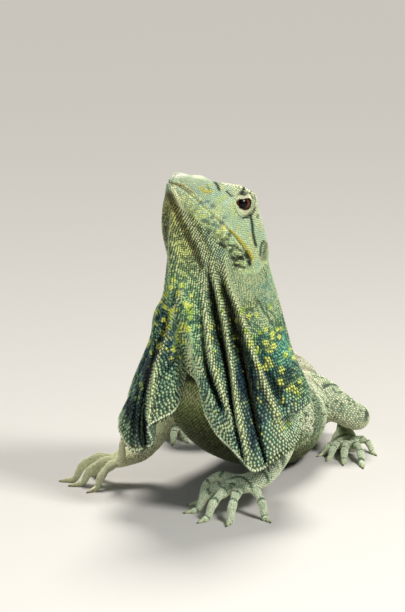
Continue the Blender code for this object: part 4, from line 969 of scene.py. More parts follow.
# Blotches of the head: column, row, half length, half width, turn, colour, strength. The near-white ones on
# the snout's and head's top and the pale blue-white one between nostril and eye are painted highlight.
BLOTCHES = (
    (219.6, 243.5, 3.0, 1.5, -30, colour(28, 44, 66), 0.9),
    (192.3, 195.5, 3.0, 2.5, 30, colour(224, 226, 150), 0.9),
    (198.3, 200.8, 3.4, 2.4, 20, colour(222, 226, 146), 0.92), (204.2, 207.8, 3.3, 2.9, 0, STRAW, 0.9),
    (203.8, 215.8, 3.3, 2.6, 10, STRAW, 0.88), (210.4, 212.4, 3.1, 2.4, 0, STRAW, 0.85),
    (198.5, 211, 2.8, 1.9, 30, STRAW, 0.75), (215.6, 217.8, 3.2, 2.3, 20, STRAW, 0.85),
    (218.2, 231.6, 3.3, 2.1, 20, STRAW, 0.9), (224.0, 227.6, 3.5, 2.8, -20, colour(226, 222, 132), 0.92),
    (210.0, 224.0, 2.5, 1.8, 0, STRAW, 0.7), (190, 203, 2.6, 1.9, 30, STRAW, 0.6),
    (183.5, 198.0, 4.0, 2.6, 50, colour(206, 208, 136), 0.7), (226, 237.0, 2.8, 1.8, 20, STRAW, 0.7),
    (196, 217.5, 3.4, 2.2, 40, colour(206, 214, 132), 0.65),
    # Painted highlight: the near-white blotches on this and the next line lie along the top of snout and
    # head.
    (180, 175.5, 9, 2.6, 8, colour(236, 234, 220), 0.8),
    (199, 177.0, 9, 1.8, 6, colour(222, 222, 206), 0.6),
    (200, 224.0, 3.2, 1.6, 60, colour(206, 214, 136), 0.6), (249, 189, 2.4, 2.0, 0, PALE, 0.9),
    (257.5, 216.5, 2, 1.2, 60, DARK, 0.8), (246.5, 255, 5.0, 2.4, -65, DARK, 1.0),
    (249, 262.5, 4.0, 2.3, -70, DARK, 1.0), (240, 257.5, 5.6, 2.2, 30, DARK, 1.0),
    (233.5, 258, 5.2, 2.0, -40, DARK, 1.0), (236, 265.5, 5.4, 1.8, -15, DARK, 0.95),
    (243, 267, 3.4, 1.7, -20, DARK, 0.9), (231, 250, 4.4, 1.9, 50, DARK, 0.9),
    (226.8, 239, 3.2, 1.8, -30, DARK, 0.8), (223, 245.5, 5.0, 2.0, -40, DARK, 0.95),
    (214, 238, 3.4, 1.4, -50, DARK, 0.6), (243, 250, 3, 1.2, 60, DARK, 0.6),
    (200, 202.5, 3.2, 2.2, 0, colour(92, 116, 116), 0.85),
    (207, 201.6, 3.4, 1.8, 10, colour(104, 128, 124), 0.75),
    (212.5, 206, 3.2, 2.2, 0, colour(96, 120, 116), 0.8),
    (205.4, 220, 3.2, 1.6, 40, colour(88, 112, 96), 0.8),
    (212, 217, 2.6, 2.4, 0, colour(88, 110, 112), 0.85), (208, 223, 3.4, 1.5, -45, colour(56, 72, 54), 0.8),
    (213.4, 224, 3.0, 2.2, 0, colour(80, 104, 104), 0.85),
    (221.5, 223, 3.4, 2.0, 30, colour(82, 106, 104), 0.85),
    (224.5, 217.5, 3.2, 1.6, 10, colour(84, 108, 104), 0.8),
    (207, 229, 3.2, 1.6, -50, colour(60, 76, 52), 0.75),
    (217.5, 226, 2.0, 2.0, 0, colour(92, 114, 112), 0.7),
    (196, 208, 2.6, 1.8, 0, colour(112, 132, 104), 0.6), (229, 233, 2.6, 1.8, 20, colour(96, 112, 96), 0.7),
    (214, 231.5, 2.6, 1.8, 0, colour(96, 112, 100), 0.7),
    (220.5, 199.5, 5.0, 3.0, 40, colour(190, 206, 128), 0.6),
    # The second blotch below is a painted highlight: pale blue-white between nostril and eye.
    (238, 226, 3.4, 2.8, 0, colour(196, 198, 138), 0.4), (228, 201, 7, 3.0, 35, colour(200, 224, 208), 0.6),
    (236, 222, 8, 3.0, 60, colour(172, 198, 172), 0.5), (228, 216, 6, 3.0, 45, colour(160, 188, 158), 0.5),
    (259, 232, 7, 2.4, 80, colour(158, 182, 156), 0.5),
    (203, 182.5, 7, 3.0, 10, colour(150, 168, 150), 0.5),
    (203.3, 220.5, 2.6, 1.8, 0, colour(86, 108, 104), 0.8),
    (229.5, 234.5, 2.6, 2.0, 60, colour(52, 68, 56), 0.8),
    (221.5, 239.5, 3.0, 1.6, 30, colour(44, 60, 50), 0.8),
    (209.0, 231.5, 3.6, 1.8, 60, colour(44, 58, 44), 0.8),
)


def brush(base, column, row, marks, weight, sharp=1.3):
    """Lays soft oval marks, placed as the picture shows them, over colours."""
    base = base.copy()
    for x, y, long, wide, turn, tint, strength in marks:
        a = math.radians(turn)
        dx, dy = column - x, y - row
        along = dx * math.cos(a) + dy * math.sin(a)
        off = -dx * math.sin(a) + dy * math.cos(a)
        w = strength * weight * np.exp(-(((along / long) ** 2 + (off / wide) ** 2) ** sharp))
        blend(base, tint, w)
    return base


def blend(base, tint, weight):
    """Moves colours towards a tint, in place."""
    base += (tint - base) * weight[:, None]


def draw_lines(base, column, row, weight):
    """Soft lines, placed as the picture shows them, over colours."""
    for tint, wide, strength, *places in LINES:
        off, _ = near_line(column, row, places)
        base = base + (tint - base) * (strength * weight * np.exp(-((off / wide) ** 3)))[:, None]
    return base


SCATTER = (12.9898, 78.233, 37.719, 4.581)


def cells(points, size, share, seed):
    """1 inside round spots scattered in space, so that all surfaces near a spot share it."""
    key = np.floor(points / size).astype(int)
    best = np.zeros(len(points))
    for shift in np.ndindex(3, 3, 3):
        cell = key + np.array(shift) - 1
        mix = (cell * np.array((73856093, 19349663, 83492791))).sum(axis=1) + seed
        draws = [np.modf(np.sin(mix % 9973 * k + seed) * 43758.5453)[0] for k in SCATTER]
        spot = (cell + 0.5 + 0.6 * np.stack(draws[:3], axis=1) / 2) * size
        near = np.linalg.norm(points - spot, axis=1)
        best = np.maximum(best, np.where(np.abs(draws[3]) < share, fade(near / size, 0.26, 0.40), 0.0))
    return best


def waves(points, size, seed):
    """Smooth noise between about -1 and 1."""
    rng = np.random.default_rng(seed)
    total = np.zeros(len(points))
    for _ in range(7):
        way = unit(rng.normal(size=3)) * 2 * math.pi / (size * rng.uniform(0.7, 1.5))
        total += np.sin(points @ way + rng.uniform(0, 6.3))
    return total / 3.2


def facing(normal, low=0.0, high=0.3):
    """How much a surface faces the camera's side."""
    return ramp(normal @ VIEW_BACK, low, high)


def speckle(base, points, size, strength, seed, bright=(1.5, 1.5, 1.3), dim=(0.34, 0.46, 0.54)):
    """Light and dark scales side by side, the light ones yellower and the dark ones bluer."""
    n = len(points)
    mix = ramp(waves(points, size, seed) + 0.6 * RNG.normal(size=n).clip(-2, 2), -0.4, 0.5)
    light, dark = base * bright + 0.01, base * dim
    toned = dark + (light - dark) * mix[:, None]
    return base + (toned - base) * np.broadcast_to(strength, n)[:, None]


def off_eyes(points):
    """Distance to the nearer eye's centre."""
    return np.minimum(*(np.linalg.norm(points - eye_frame(side)[0], axis=1) for side in (1, -1)))


def off_ear(place):
    """Distance in the side view of the head to the ear."""
    return np.linalg.norm(place[:, [0, 2]] - np.array(EAR_PLACE)[[0, 2]], axis=1)


def paint_frill(points, normal, down, fold, hidden):
    """Crown and edge colours of the frill's outer face."""
    n = len(points)
    u, v = to_picture(points)
    w = facing(normal, -0.1, 0.2) * (1 - hidden)
    near, ridge = np.clip(fold, 0, 1), np.clip(-fold, 0, 1)
    shares = (0.0, 0.2, 0.42, 0.62, 0.85, 1.0)
    tints = np.array((MINT, MINT, colour(124, 156, 118), colour(44, 90, 92), colour(72, 118, 108), TEAL_PALE))
    base = np.stack([np.interp(down, shares, tints[:, k]) for k in range(3)], axis=1)
    blue = np.clip(0.5 + 0.6 * waves(points, 9.0, 3), 0, 1) * ramp(down, 0.25, 0.5) * fade(down, 0.85, 0.98)
    blend(base, colour(26, 66, 80), 0.8 * blue)
    base = brush(brush(base, u, v, WASHES, w), u, v, BLOTCHES, w * (down < 0.3), 2.0)
    mixed = 0.72 + 0.2 * ramp(down, 0.15, 0.4) * fade(down, 0.9, 1.0)
    base = speckle(base, points, 1.6, mixed, 19)
    base = draw_lines(base, u, v, w)
    # Painted highlight: the ridges between the folds are painted pale.
    blend(base, colour(222, 240, 180), 0.8 * ridge)
    spots = cells(points, 5.0, 0.55, 11) * (1 - w) * ramp(down, 0.2, 0.32) * fade(down, 0.66, 0.8)
    marks = [(x, y, s * 1.03, s * 0.88, 100, np.ones(3), 1.0) for x, y, s in SPOTS]
    seen = brush(np.zeros((n, 3)), u, v, marks, np.sqrt(w), 2.0)[:, 0]
    spots = np.maximum(spots, np.clip(seen * 1.7, 0, 1))
    fine = cells(points, 2.4, 0.3, 5) * ramp(down, 0.2, 0.35) * fade(down, 0.9, 1.0) * 0.45
    spots = np.maximum(spots, fine)
    hem = ramp(down, 0.965, 0.99)
    blend(base, PALE * 0.8, 0.7 * hem)
    # Painted shade: colours darken towards the bottoms of the folds, and the spots laid there are dimmed too.
    base = base * (1 - 0.93 * ramp(near, 0.05, 0.75))[:, None]
    tint = np.where(waves(points, 5.0, 9)[:, None] > 0.35, LIME, YELLOW) * 0.95
    blend(base, tint * (1 - 0.45 * ramp(near, 0.1, 0.7))[:, None], spots)
    dots = ramp(down, 0.5, 0.8)[:, None] * (1 - near)[:, None] ** 2 * (1 - spots[:, None])
    dots = dots * (0.14 + 0.86 * ramp(base.mean(axis=1), 0.03, 0.2))[:, None]
    crown = base * (1.8 - 0.5 * spots[:, None]) + (colour(206, 226, 180) - base) * 0.6 * dots
    # On spots, and as painted highlight on the ridges, the scales' edges keep more of their colour.
    solid = np.maximum(spots, 0.9 * ridge)[:, None]
    return np.clip(crown, 0, colour(222, 234, 182)), base * (0.36 + 0.56 * solid)


def paint_head(points, normal, _):
    """Crown and edge colours of the head."""
    n = len(points)
    place = to_head(points)
    b, l, h = place.T
    u, v = to_picture(points)
    w = facing(normal, -0.1, 0.25)
    base = np.tile(colour(188, 210, 172), (n, 1))
    blend(base, colour(166, 200, 180), 0.7 * ramp(waves(points, 6.0, 51), 0.0, 0.7))
    blend(base, colour(204, 212, 152), 0.6 * ramp(waves(points, 5.0, 52), 0.0, 0.7))
    # Painted highlight: the head is painted paler towards its top, where light from above falls.
    top = ramp(h, 5.0, 11.0)
    blend(base, colour(216, 220, 186), 0.5 * top)
    blend(base, colour(168, 184, 160), 0.6 * fade(b, 6.0, 16.0))
    below = fade(h - smooth(HEAD_BACK, LIP_UP, b), -6.0, -1.0)
    blend(base, OLIVE, 0.6 * below)
    cheek = ramp(b, 8.0, 13.0) * fade(b, 33.0, 38.0) * fade(np.abs(h + 2.0), 2.6, 4.2)
    cheek = cheek * (1 - w)
    blend(base, YELLOW, 0.85 * cheek * cells(points, 3.4, 0.5, 21))
    blend(base, colour(84, 108, 102), 0.7 * cheek * cells(points, 3.0, 0.5, 31))
    rear = ramp(b, 27.0, 33.0) * fade(np.abs(h + 5.0), 3.0, 4.5) * (1 - w)
    blend(base, DARK, 0.8 * rear * ramp(waves(points, 4.5, 14), 0.25, 0.5))
    line = np.interp(b, (25, 30, 40, 46), (7.6, 6.6, 5.6, 5.0))
    streak = fade(np.abs(h - line), 0.5, 1.0) * ramp(b, 26, 27.5) * fade(b, 42, 46)
    blend(base, DARK, 0.85 * streak * (1 - w))
    mouth = np.abs(h - smooth(HEAD_BACK, LIP_UP, b))
    lips = fade(mouth, 0.25, 0.6) * (b < MOUTH_CORNER + 1) * (1 - 0.8 * w)
    lips = lips * np.where(b > 15, ramp(b, 23, 27), fade(b, 5, 9))
    tint = np.where((b > 15)[:, None], LIP_YELLOW, colour(130, 98, 52))
    blend(base, tint, 0.75 * lips)
    base = brush(base, u, v, WASHES, w * below)
    ear = off_ear(place)
    blend(base, colour(92, 88, 52), 0.6 * fade(ear, 1.0, EAR_RADIUS) * (np.abs(l) > 8))
    low_cheek = fade(h - smooth(HEAD_BACK, LIP_UP, b), -3.0, 1.5)
    low_cheek = low_cheek * (0.45 + 0.55 * ramp(b, 12.0, 24.0))
    marks = [(*mark[:5], np.ones(3), 1.0) for mark in BLOTCHES]
    blotched = brush(np.zeros((n, 3)), u, v, marks, w, 2.0)[:, 0]
    base = brush(base, u, v, BLOTCHES, w, 2.0)
    mixed = (0.16 + 0.56 * low_cheek) * (1 - 0.6 * blotched)
    base = speckle(base, points, 1.2, mixed, 41, (1.28, 1.34, 1.0), (0.40, 0.47, 0.34))
    base = draw_lines(base, u, v, w)
    # Painted shade in the groove round each eye's lids.
    base *= (1 - 0.45 * bell(off_eyes(points) - EYE_RADIUS - LID_THICK - 0.45, 0.3))[:, None]
    edge = (0.80 - 0.36 * low_cheek * (1 - 0.8 * blotched))[:, None]
    return np.clip(base * (1.14 + 0.26 * low_cheek[:, None]), 0, 1), base * edge


def paint_body(points, normal, share):
    """Crown and edge colours of neck, trunk and tail: share runs from the neck to the tail's tip."""
    n = len(points)
    flank = ramp(np.abs(points[:, 0] - 2.0), 15.0, 25.0)
    under = ramp(-normal[:, 2] - 0.5 * flank, -0.35, 0.35)
    chest = fade(share, 0.25, 0.30) * (1 - flank)
    under = np.maximum(under, chest * ramp(-normal[:, 1], -0.2, 0.5))
    base = np.tile(FLANK, (n, 1))
    band = 0.5 + 0.5 * np.sin(share * 2 * math.pi * 15 + 0.9 * waves(points, 26.0, 2))
    blend(base, colour(92, 116, 88), 0.75 * ramp(band, 0.55, 0.9))
    net = np.abs(waves(points, 7.0, 8))
    blend(base, colour(44, 60, 42), 0.8 * fade(net, 0.04, 0.22) * (1 - under))
    # Painted highlight: surfaces facing up are painted pinkish.
    blend(base, PINK * 0.9, 0.4 * ramp(normal[:, 2], 0.5, 1.0))
    blend(base, BELLY, 0.9 * under)
    shade = under * fade(points[:, 2], 16.0, 44.0)
    blend(base, colour(62, 62, 34), 0.85 * shade)
    base *= (1 + 0.10 * RNG.normal(size=n).clip(-1.6, 1.6) + 0.07 * waves(points, 12.0, 5))[:, None]
    base = speckle(base, points, 2.0, 0.5, 61)
    front = chest * fade(points[:, 1], 20.0, 34.0)
    # Painted shadow: the chest's top, under the frill, is darkened.
    base *= (1 - 0.88 * front * ramp(points[:, 2], 39.0, 42.5))[:, None]
    lit = (front * ramp(points[:, 2], 22.0, 36.0))[:, None]
    return np.clip(base * (1.5 + 2.0 * lit), 0, 1), base * (0.38 + 0.5 * lit)


def paint_limb(points, normal, share, right, bands=9.0):
    """Crown and edge colours of a limb or digit, pale with dark bands across."""
    n = len(points)
    base = np.tile(HAND_CREAM if right else HAND_PALE, (n, 1))
    upper = fade(share, 0.35, 0.7)
    blend(base, FLANK, 0.7 * upper)
    net = np.abs(waves(points, 4.2, 8))
    dark = (0.08 if right else 0.8) * fade(net, 0.05, 0.26) * (1 - 0.75 * ramp(share, 0.7, 0.78))
    blend(base, HAND_DARK, dark * ramp(normal[:, 2], -0.6, 0.3))
    band = np.sin(share * 2 * math.pi * bands + 0.8 * waves(points, 9.0, 12))
    banded = (0.06 if right else 0.78) * ramp(band, 0.72, 0.95)
    blend(base, HAND_DARK, banded * ramp(normal[:, 2], -0.6, 0.2))
    blend(base, CREAM, 0.5 * ramp(-normal[:, 2], 0.0, 0.6))
    base = speckle(base, points, 1.6, 0.12 if right else 0.28, 71)
    return np.clip(base * 1.45, 0, 1), base * (0.85 if right else 0.58)


# Materials


def scaly(name, roughness, bump, bump_size, speck=0.14, shine=0.45):
    """A skin finish: the painted colour, broken by fine noise, with a fine grain in the relief."""
    material = bpy.data.materials.new(name)
    material.use_nodes = True
    nodes, links = material.node_tree.nodes, material.node_tree.links
    shader = nodes["Principled BSDF"]
    paint = nodes.new("ShaderNodeAttribute")
    paint.attribute_name = "paint"
    place = nodes.new("ShaderNodeTexCoord")
    grain = nodes.new("ShaderNodeTexNoise")
    grain.inputs["Scale"].default_value = 1 / (bump_size * MM)
    grain.inputs["Detail"].default_value = 3.0
    links.new(place.outputs["Object"], grain.inputs["Vector"])
    span = nodes.new("ShaderNodeMapRange")
    span.inputs["To Min"].default_value, span.inputs["To Max"].default_value = 1 - speck, 1 + speck
    links.new(grain.outputs["Fac"], span.inputs["Value"])
    tone = nodes.new("ShaderNodeVectorMath")
    tone.operation = "SCALE"
    links.new(paint.outputs["Color"], tone.inputs[0])
    links.new(span.outputs["Result"], tone.inputs["Scale"])
    links.new(tone.outputs["Vector"], shader.inputs["Base Color"])
    relief = nodes.new("ShaderNodeBump")
    relief.inputs["Strength"].default_value = bump
    relief.inputs["Distance"].default_value = 0.1 * MM
    links.new(grain.outputs["Fac"], relief.inputs["Height"])
    links.new(relief.outputs["Normal"], shader.inputs["Normal"])
    rough = nodes.new("ShaderNodeMapRange")
    rough.inputs["To Min"].default_value = roughness - 0.08
    rough.inputs["To Max"].default_value = roughness + 0.12
    links.new(grain.outputs["Fac"], rough.inputs["Value"])
    links.new(rough.outputs["Result"], shader.inputs["Roughness"])
    shader.inputs["Specular IOR Level"].default_value = shine
    return material


def glossy(name, roughness, coat):
    """A wet or horny finish over the painted colour."""
    material = scaly(name, roughness, 0.02, 0.3, 0.06, 0.16)
    shader = material.node_tree.nodes["Principled BSDF"]
    shader.inputs["Coat Weight"].default_value = coat
    shader.inputs["Coat Roughness"].default_value = 0.03
    return material


def plain(name, tint, roughness):
    """A plain finish for the floor."""
    material = bpy.data.materials.new(name)
    material.use_nodes = True
    shader = material.node_tree.nodes["Principled BSDF"]
    shader.inputs["Base Color"].default_value = (*tint, 1.0)
    shader.inputs["Roughness"].default_value = roughness
    return material


# The pieces


def eye_frame(side):
    """Centre of an eye, where it looks, the way to the back corner of its lids, and up."""
    flip = np.array((1, side, 1))
    centre = from_head([EYE_PLACE * flip])[0]
    gaze = unit(np.array(EYE_GAZE) * flip @ AXES)
    back = unit(AXES[0] - (AXES[0] @ gaze) * gaze)
    up = np.cross(gaze, back) * side
    a = math.radians(EYE_TILT)
    return centre, gaze, math.cos(a) * back + math.sin(a) * up, math.cos(a) * up - math.sin(a) * back


def lid_outline(angle, out):
    """The almond of a lids' opening, along and across, widened by some millimetres."""
    upper = 0.66 * np.abs(np.sin(angle)) ** 1.1 * (1 + 0.25 * np.cos(angle))
    lower = -1.0 * np.abs(np.sin(angle)) ** 1.5 * (1 + 0.12 * np.cos(angle))
    high = LID_OPEN_HIGH * np.where(np.sin(angle) > 0, upper, lower)
    return LID_OPEN_LONG * np.cos(angle) + out * np.cos(angle), high + out * np.sin(angle)


def lid_cutter(side):
    """An almond-shaped plug through the lids, along the gaze."""
    centre, gaze, back, up = eye_frame(side)
    long, high = lid_outline(turns(48, 0), 0.0)
    rim = long[:, None] * back + high[:, None] * up
    steps = ((0.6, 0.8), (2.0, 0.92), (3.4, 1.0), (4.4, 1.1), (7.0, 1.5))
    return face_out(merged("opening", tube(np.array([centre + rim * s + gaze * d for d, s in steps]))))


def head_relief(place):
    """How far features of the head stand out or lie in, in millimetres."""
    b, l, h = place.T
    side = np.abs(l)
    mouth = h - smooth(HEAD_BACK, LIP_UP, b)
    open_way = fade(b, 35.5, 38.0) * (side > 0.2)
    open_way = np.where(b < 3, 1.0, open_way) * (1 - 0.75 * ramp(b, 6.0, 10.0) * fade(b, 21.0, 25.0))
    rise = open_way * (-0.4 * bell(mouth, 0.25) + 0.16 * bell(np.abs(mouth) - 0.85, 0.4))
    nostril = np.hypot(b - NOSTRIL_PLACE[0], h - NOSTRIL_PLACE[2])
    near = (side > 2.2) & (b < 14)
    rise += near * (0.34 * bell(nostril - 1.15, 0.36) - 1.0 * bell(nostril, 0.62))
    ear = np.hypot(b - EAR_PLACE[0], (h - EAR_PLACE[2]) * 0.85)
    ring = 0.12 * bell(ear - EAR_RADIUS - 0.35, 0.4)
    rise += (side > 7.0) * (-0.6 * fade(ear, 1.2, EAR_RADIUS) + ring)
    brow = bell(h - smooth(HEAD_BACK, CANTHUS_UP, b) + 0.3, 1.0) * ramp(b, 15, 19) * fade(b, 27, 31)
    rise += 0.45 * brow * (side > 4)
    centre = EYE_PLACE * np.column_stack((np.ones(len(l)), np.where(l > 0, 1.0, -1.0), np.ones(len(l))))
    lid = np.linalg.norm(place - centre, axis=1) - EYE_RADIUS - LID_THICK
    return rise - 0.42 * bell(lid - 0.35, 0.38) + 0.2 * bell(lid - 1.35, 0.45)


def make_skin():
    """The whole skin as one closed mesh: fine on the head, hands and feet."""
    fine = [tube(head_rings()), tube(body_rings(0.0, 3.05, 30))]
    fine += [ball(eye_frame(side)[0], EYE_RADIUS + LID_THICK) for side in (1, -1)]
    tail = tail_rings()
    coarse = [tube(body_rings(2.6, TORSO_END, 60)), tube(tail[: TAIL_OVERLAP[1]])]
    for _, rows, end, digits, _ in LIMBS:
        coarse.append(tube(limb_rings(rows, 0.0, end + 0.5, 50, -0.1)))
        fine.append(tube(limb_rings(rows, end - 0.4, len(rows) - 1.0, 24, -0.05)))
        fine += [tube(hoops(*digit_path(*digit))) for digit in digits]
    skin = remeshed(merged("skin", *fine), FINE_GRAIN, 3)
    for side in (1, -1):
        hole = ball(eye_frame(side)[0], EYE_RADIUS + 0.06, 48, 32)
        boolean(skin, face_out(merged("eyeball", hole)), "DIFFERENCE")
        boolean(skin, lid_cutter(side), "DIFFERENCE")
    points = read_points(skin.data)
    place = to_head(points)
    on_head = (place[:, 0] < 50) & (points[:, 2] > 60)
    rise = np.where(on_head, head_relief(place), 0.0)
    write_points(skin.data, points + normals_of(skin.data) * rise[:, None])
    boolean(skin, remeshed(merged("trunk", *coarse), COARSE_GRAIN, 6), "UNION")
    boolean(skin, face_out(merged("tail", tube(tail[TAIL_OVERLAP[0] :]))), "UNION")
    write_points(skin.data, on_floor(read_points(skin.data)))
    skin.data.shade_smooth()
    return skin


def make_frill(head):
    """Both halves of the frill as one sheet with two faces, and the grids its scales lie on."""
    grids = {}
    for side, hem in ((1, LEFT_HEM), (-1, RIGHT_HEM)):
        last = len(hem) - 1.0
        grids[side] = frill_sheet(side, np.linspace(0.0, last, int(last * 9) + 1), head)
    outer, inner, near = (np.concatenate((grids[-1][k][:, :0:-1], grids[1][k]), axis=1) for k in range(3))
    columns = outer.shape[1]
    points = np.concatenate((outer.reshape(-1, 3), inner[::-1].reshape(-1, 3)))
    steps = len(outer) + len(inner) - 1
    i, j = np.meshgrid(np.arange(steps) * columns, np.arange(columns - 1), indexing="ij")
    quads = np.stack((i + j, i + columns + j, i + columns + j + 1, i + j + 1), axis=-1)
    return mesh_of("frill", points, [quads.reshape(-1, 4)]), outer, inner, near


def spots_of(row, column, grid, corner, span):
    """Places on the map for places on a grid."""
    shares = np.column_stack((column / grid.shape[1], row / grid.shape[0]))
    return np.array(corner) + shares * np.array(span)


def uneven(count, amount):
    """Factors that vary a little from scale to scale."""
    return (1 + amount * RNG.normal(size=count).clip(-2, 2))[:, None]


def frill_scales(scales, outer, inner, near):
    """Rows of keeled scales down both faces of the frill, and the pointed fringe of its hem."""
    below = FRILL_ROWS - SKIRT_ROW
    skirt = outer.shape[0] - below
    row, column, wide, point, lie, normal = spread(outer, 0.82, 1.42, 0.84)
    normal = unit(-normal)
    late = SKIRT_FROM + (row - skirt) / below * (1 - SKIRT_FROM)
    down = np.where(row < skirt, SKIRT_FROM * row / skirt, late)
    fold = read_grid(np.repeat(near[..., None], 3, axis=2), row, column)[0][:, 0]
    crown, edge = paint_frill(point, normal, down, fold, ramp(point[:, 1], NAPE_FROM, NAPE_TO))
    spot = spots_of(row, column, outer, (0.02, 0.02), (0.46, 0.46))
    size = (wide * 0.78, wide * 0.84, 0.06 + wide * 0.2)
    scales.add("frill_outer", point, lie, normal, size, crown, edge, spot)
    shown = inner[8:]
    row, column, wide, point, lie, normal = spread(shown, 1.2, 1.6)
    base = np.tile(colour(128, 140, 104), (len(point), 1)) * uneven(len(point), 0.12)
    blend(base, colour(84, 104, 92), 0.6 * ramp(row / shown.shape[0], 0.4, 0.95))
    spot = spots_of(row, column, inner, (0.52, 0.02), (0.46, 0.46))
    size = (wide * 1.4, wide * 0.95, 0.22)
    scales.add("frill_inner", point, lie, normal, size, base * 1.1, base * 0.6, spot)
    run = np.concatenate(([0.0], np.cumsum(np.linalg.norm(np.diff(outer[-1], axis=0), axis=1))))
    count = int(run[-1] / 0.95)
    column = np.interp((np.arange(count) + 0.5) / count * run[-1], run, np.arange(outer.shape[1]))
    row = np.full(count, outer.shape[0] - 1.01)
    point, normal = read_grid(outer, row, column)
    lie, normal = flow(outer, row, column, 3.0), unit(-normal)
    u, _ = to_picture(point)
    teeth = ramp(u, 262.0, 270.0) * facing(normal) * (point[:, 1] < 30)
    base = (PALE + (colour(66, 92, 56) - PALE) * teeth[:, None]) * uneven(count, 0.1)
    spot = np.column_stack((0.02 + 0.46 * column / outer.shape[1], np.full(count, 0.487)))
    rim = (0.9 - 0.3 * teeth)[:, None]
    size = (1.0 + 0.5 * teeth, 0.95, 0.3)
    crown = np.clip(base * 1.15, 0, 1)
    scales.add("hem", point - unit(lie) * 0.3, lie, normal, size, crown, base * rim, spot)


def closed_grid(rings):
    """Rings with their first point again at the end."""
    return np.concatenate((rings, rings[:, :1]), axis=1)


def tube_scales(scales, skin, name, rings, pitches, painter, corner, keep=None, tall=0.17, limit=0.9):
    """Scales in offset rings over a tube of the body, set down on the skin."""
    grid = closed_grid(rings)
    row, column, wide, point, lie, _ = spread(grid, *pitches)
    place, normal, close = on_skin(skin, point, limit)
    if keep is not None:
        close &= keep(place)
    row, column, wide, lie, place, normal = (a[close] for a in (row, column, wide, lie, place, normal))
    crown, edge = painter(place, normal, row / grid.shape[0])
    spot = spots_of(row, column, grid, corner, (0.085, 0.105))
    size = (wide * 1.12, wide * 0.82, 0.06 + wide * tall)
    scales.add(name, place, laid(lie, normal), normal, size, crown, edge, spot)


def head_keep(place):
    """Where small head scales belong: off the eyes and the mouth's slit."""
    head = to_head(place)
    mouth = np.abs(head[:, 2] - smooth(HEAD_BACK, LIP_UP, head[:, 0]))
    slit = (mouth < 0.22) & (head[:, 0] < MOUTH_CORNER)
    ear = (off_ear(head) < 1.7) & (np.abs(head[:, 1]) > 7)
    return (off_eyes(place) > EYE_RADIUS + 0.72) & ~slit & ~ear


def side_name(name, side):
    """The name of the left or right one of a pair."""
    return f"{name}_{'left' if side > 0 else 'right'}"


def lid_scales(scales, skin):
    """Rings of small scales on the lids, round the openings."""
    for side in (1, -1):
        centre, gaze, back, up = eye_frame(side)
        rings = []
        for out, depth in ((0.12, 2.9), (0.5, 2.7), (0.95, 2.2), (1.4, 1.6), (1.9, 0.8), (2.4, 0.0)):
            long, high = lid_outline(turns(48, 0), out)
            rings.append(centre + long[:, None] * back + high[:, None] * up + gaze * depth)
        row, column, wide, point, lie, _ = spread(closed_grid(np.array(rings)), 0.5, 0.7, reach=0.5)
        place, normal, close = on_skin(skin, point, 2.0)
        close &= np.linalg.norm(place - centre, axis=1) > EYE_RADIUS + 0.3
        row, column, wide, lie, place, normal = (a[close] for a in (row, column, wide, lie, place, normal))
        base = np.tile(colour(232, 236, 196), (len(place), 1)) * uneven(len(place), 0.08)
        blend(base, colour(30, 26, 18), fade(row, 0.15, 0.6))
        blend(base, colour(116, 126, 84), 0.75 * ramp(row, 3.3, 4.2))
        spot = np.column_stack((0.90 + 0.08 * column / 41, 0.86 + 0.04 * side + 0.02 * row / 4))
        size = (wide * 1.2, wide * 0.95, 0.13)
        crown = np.clip(base * 1.1, 0, 1)
        scales.add(side_name("lid", side), place, lie, normal, size, crown, base * 0.75, spot)


def plates(scales, skin):
    """Larger plates along both lips and over the brows."""
    mouth = np.linspace(1.5, MOUTH_CORNER - 0.5, 30)
    brow = np.linspace(15.0, 30.0, 14)
    rows = (
        ("upper_lip", mouth, LIP_LEFT, LIP_UP, 0.95, (1.3, 0.9, 0.12), colour(190, 208, 168)),
        ("lower_lip", mouth, LIP_LEFT, LIP_UP, -0.85, (1.3, 0.9, 0.12), colour(190, 208, 168)),
        ("brow", brow, CANTHUS_LEFT, CANTHUS_UP, 0.0, (1.3, 1.1, 0.42), colour(220, 222, 188)),
    )
    for side in (1, -1):
        for name, back, left, up, rise, size, tint in rows:
            guide = (back, side * smooth(HEAD_BACK, left, back), smooth(HEAD_BACK, up, back) + rise)
            lay_plates(scales, skin, name, side, from_head(np.column_stack(guide)), size, tint)


def lay_plates(scales, skin, name, side, guide, size, tint):
    """One row of plates along a guide, set down on the skin."""
    place, normal, close = on_skin(skin, guide, 3.0)
    place, normal, lie = (a[close] for a in (place, normal, np.gradient(guide, axis=0)))
    column, row = to_picture(place)
    base = np.tile(tint, (len(place), 1)) * uneven(len(place), 0.1)
    w = facing(normal, -0.1, 0.25)
    base = draw_lines(brush(base, column, row, BLOTCHES, w), column, row, w)
    spot = np.column_stack((np.linspace(0.9, 0.98, len(place)), np.full(len(place), 0.93 + 0.02 * side)))
    crown = np.clip(base * 1.12, 0, 1)
    scales.add(side_name(name, side), place, laid(lie, normal), normal, size, crown, base * 0.6, spot)


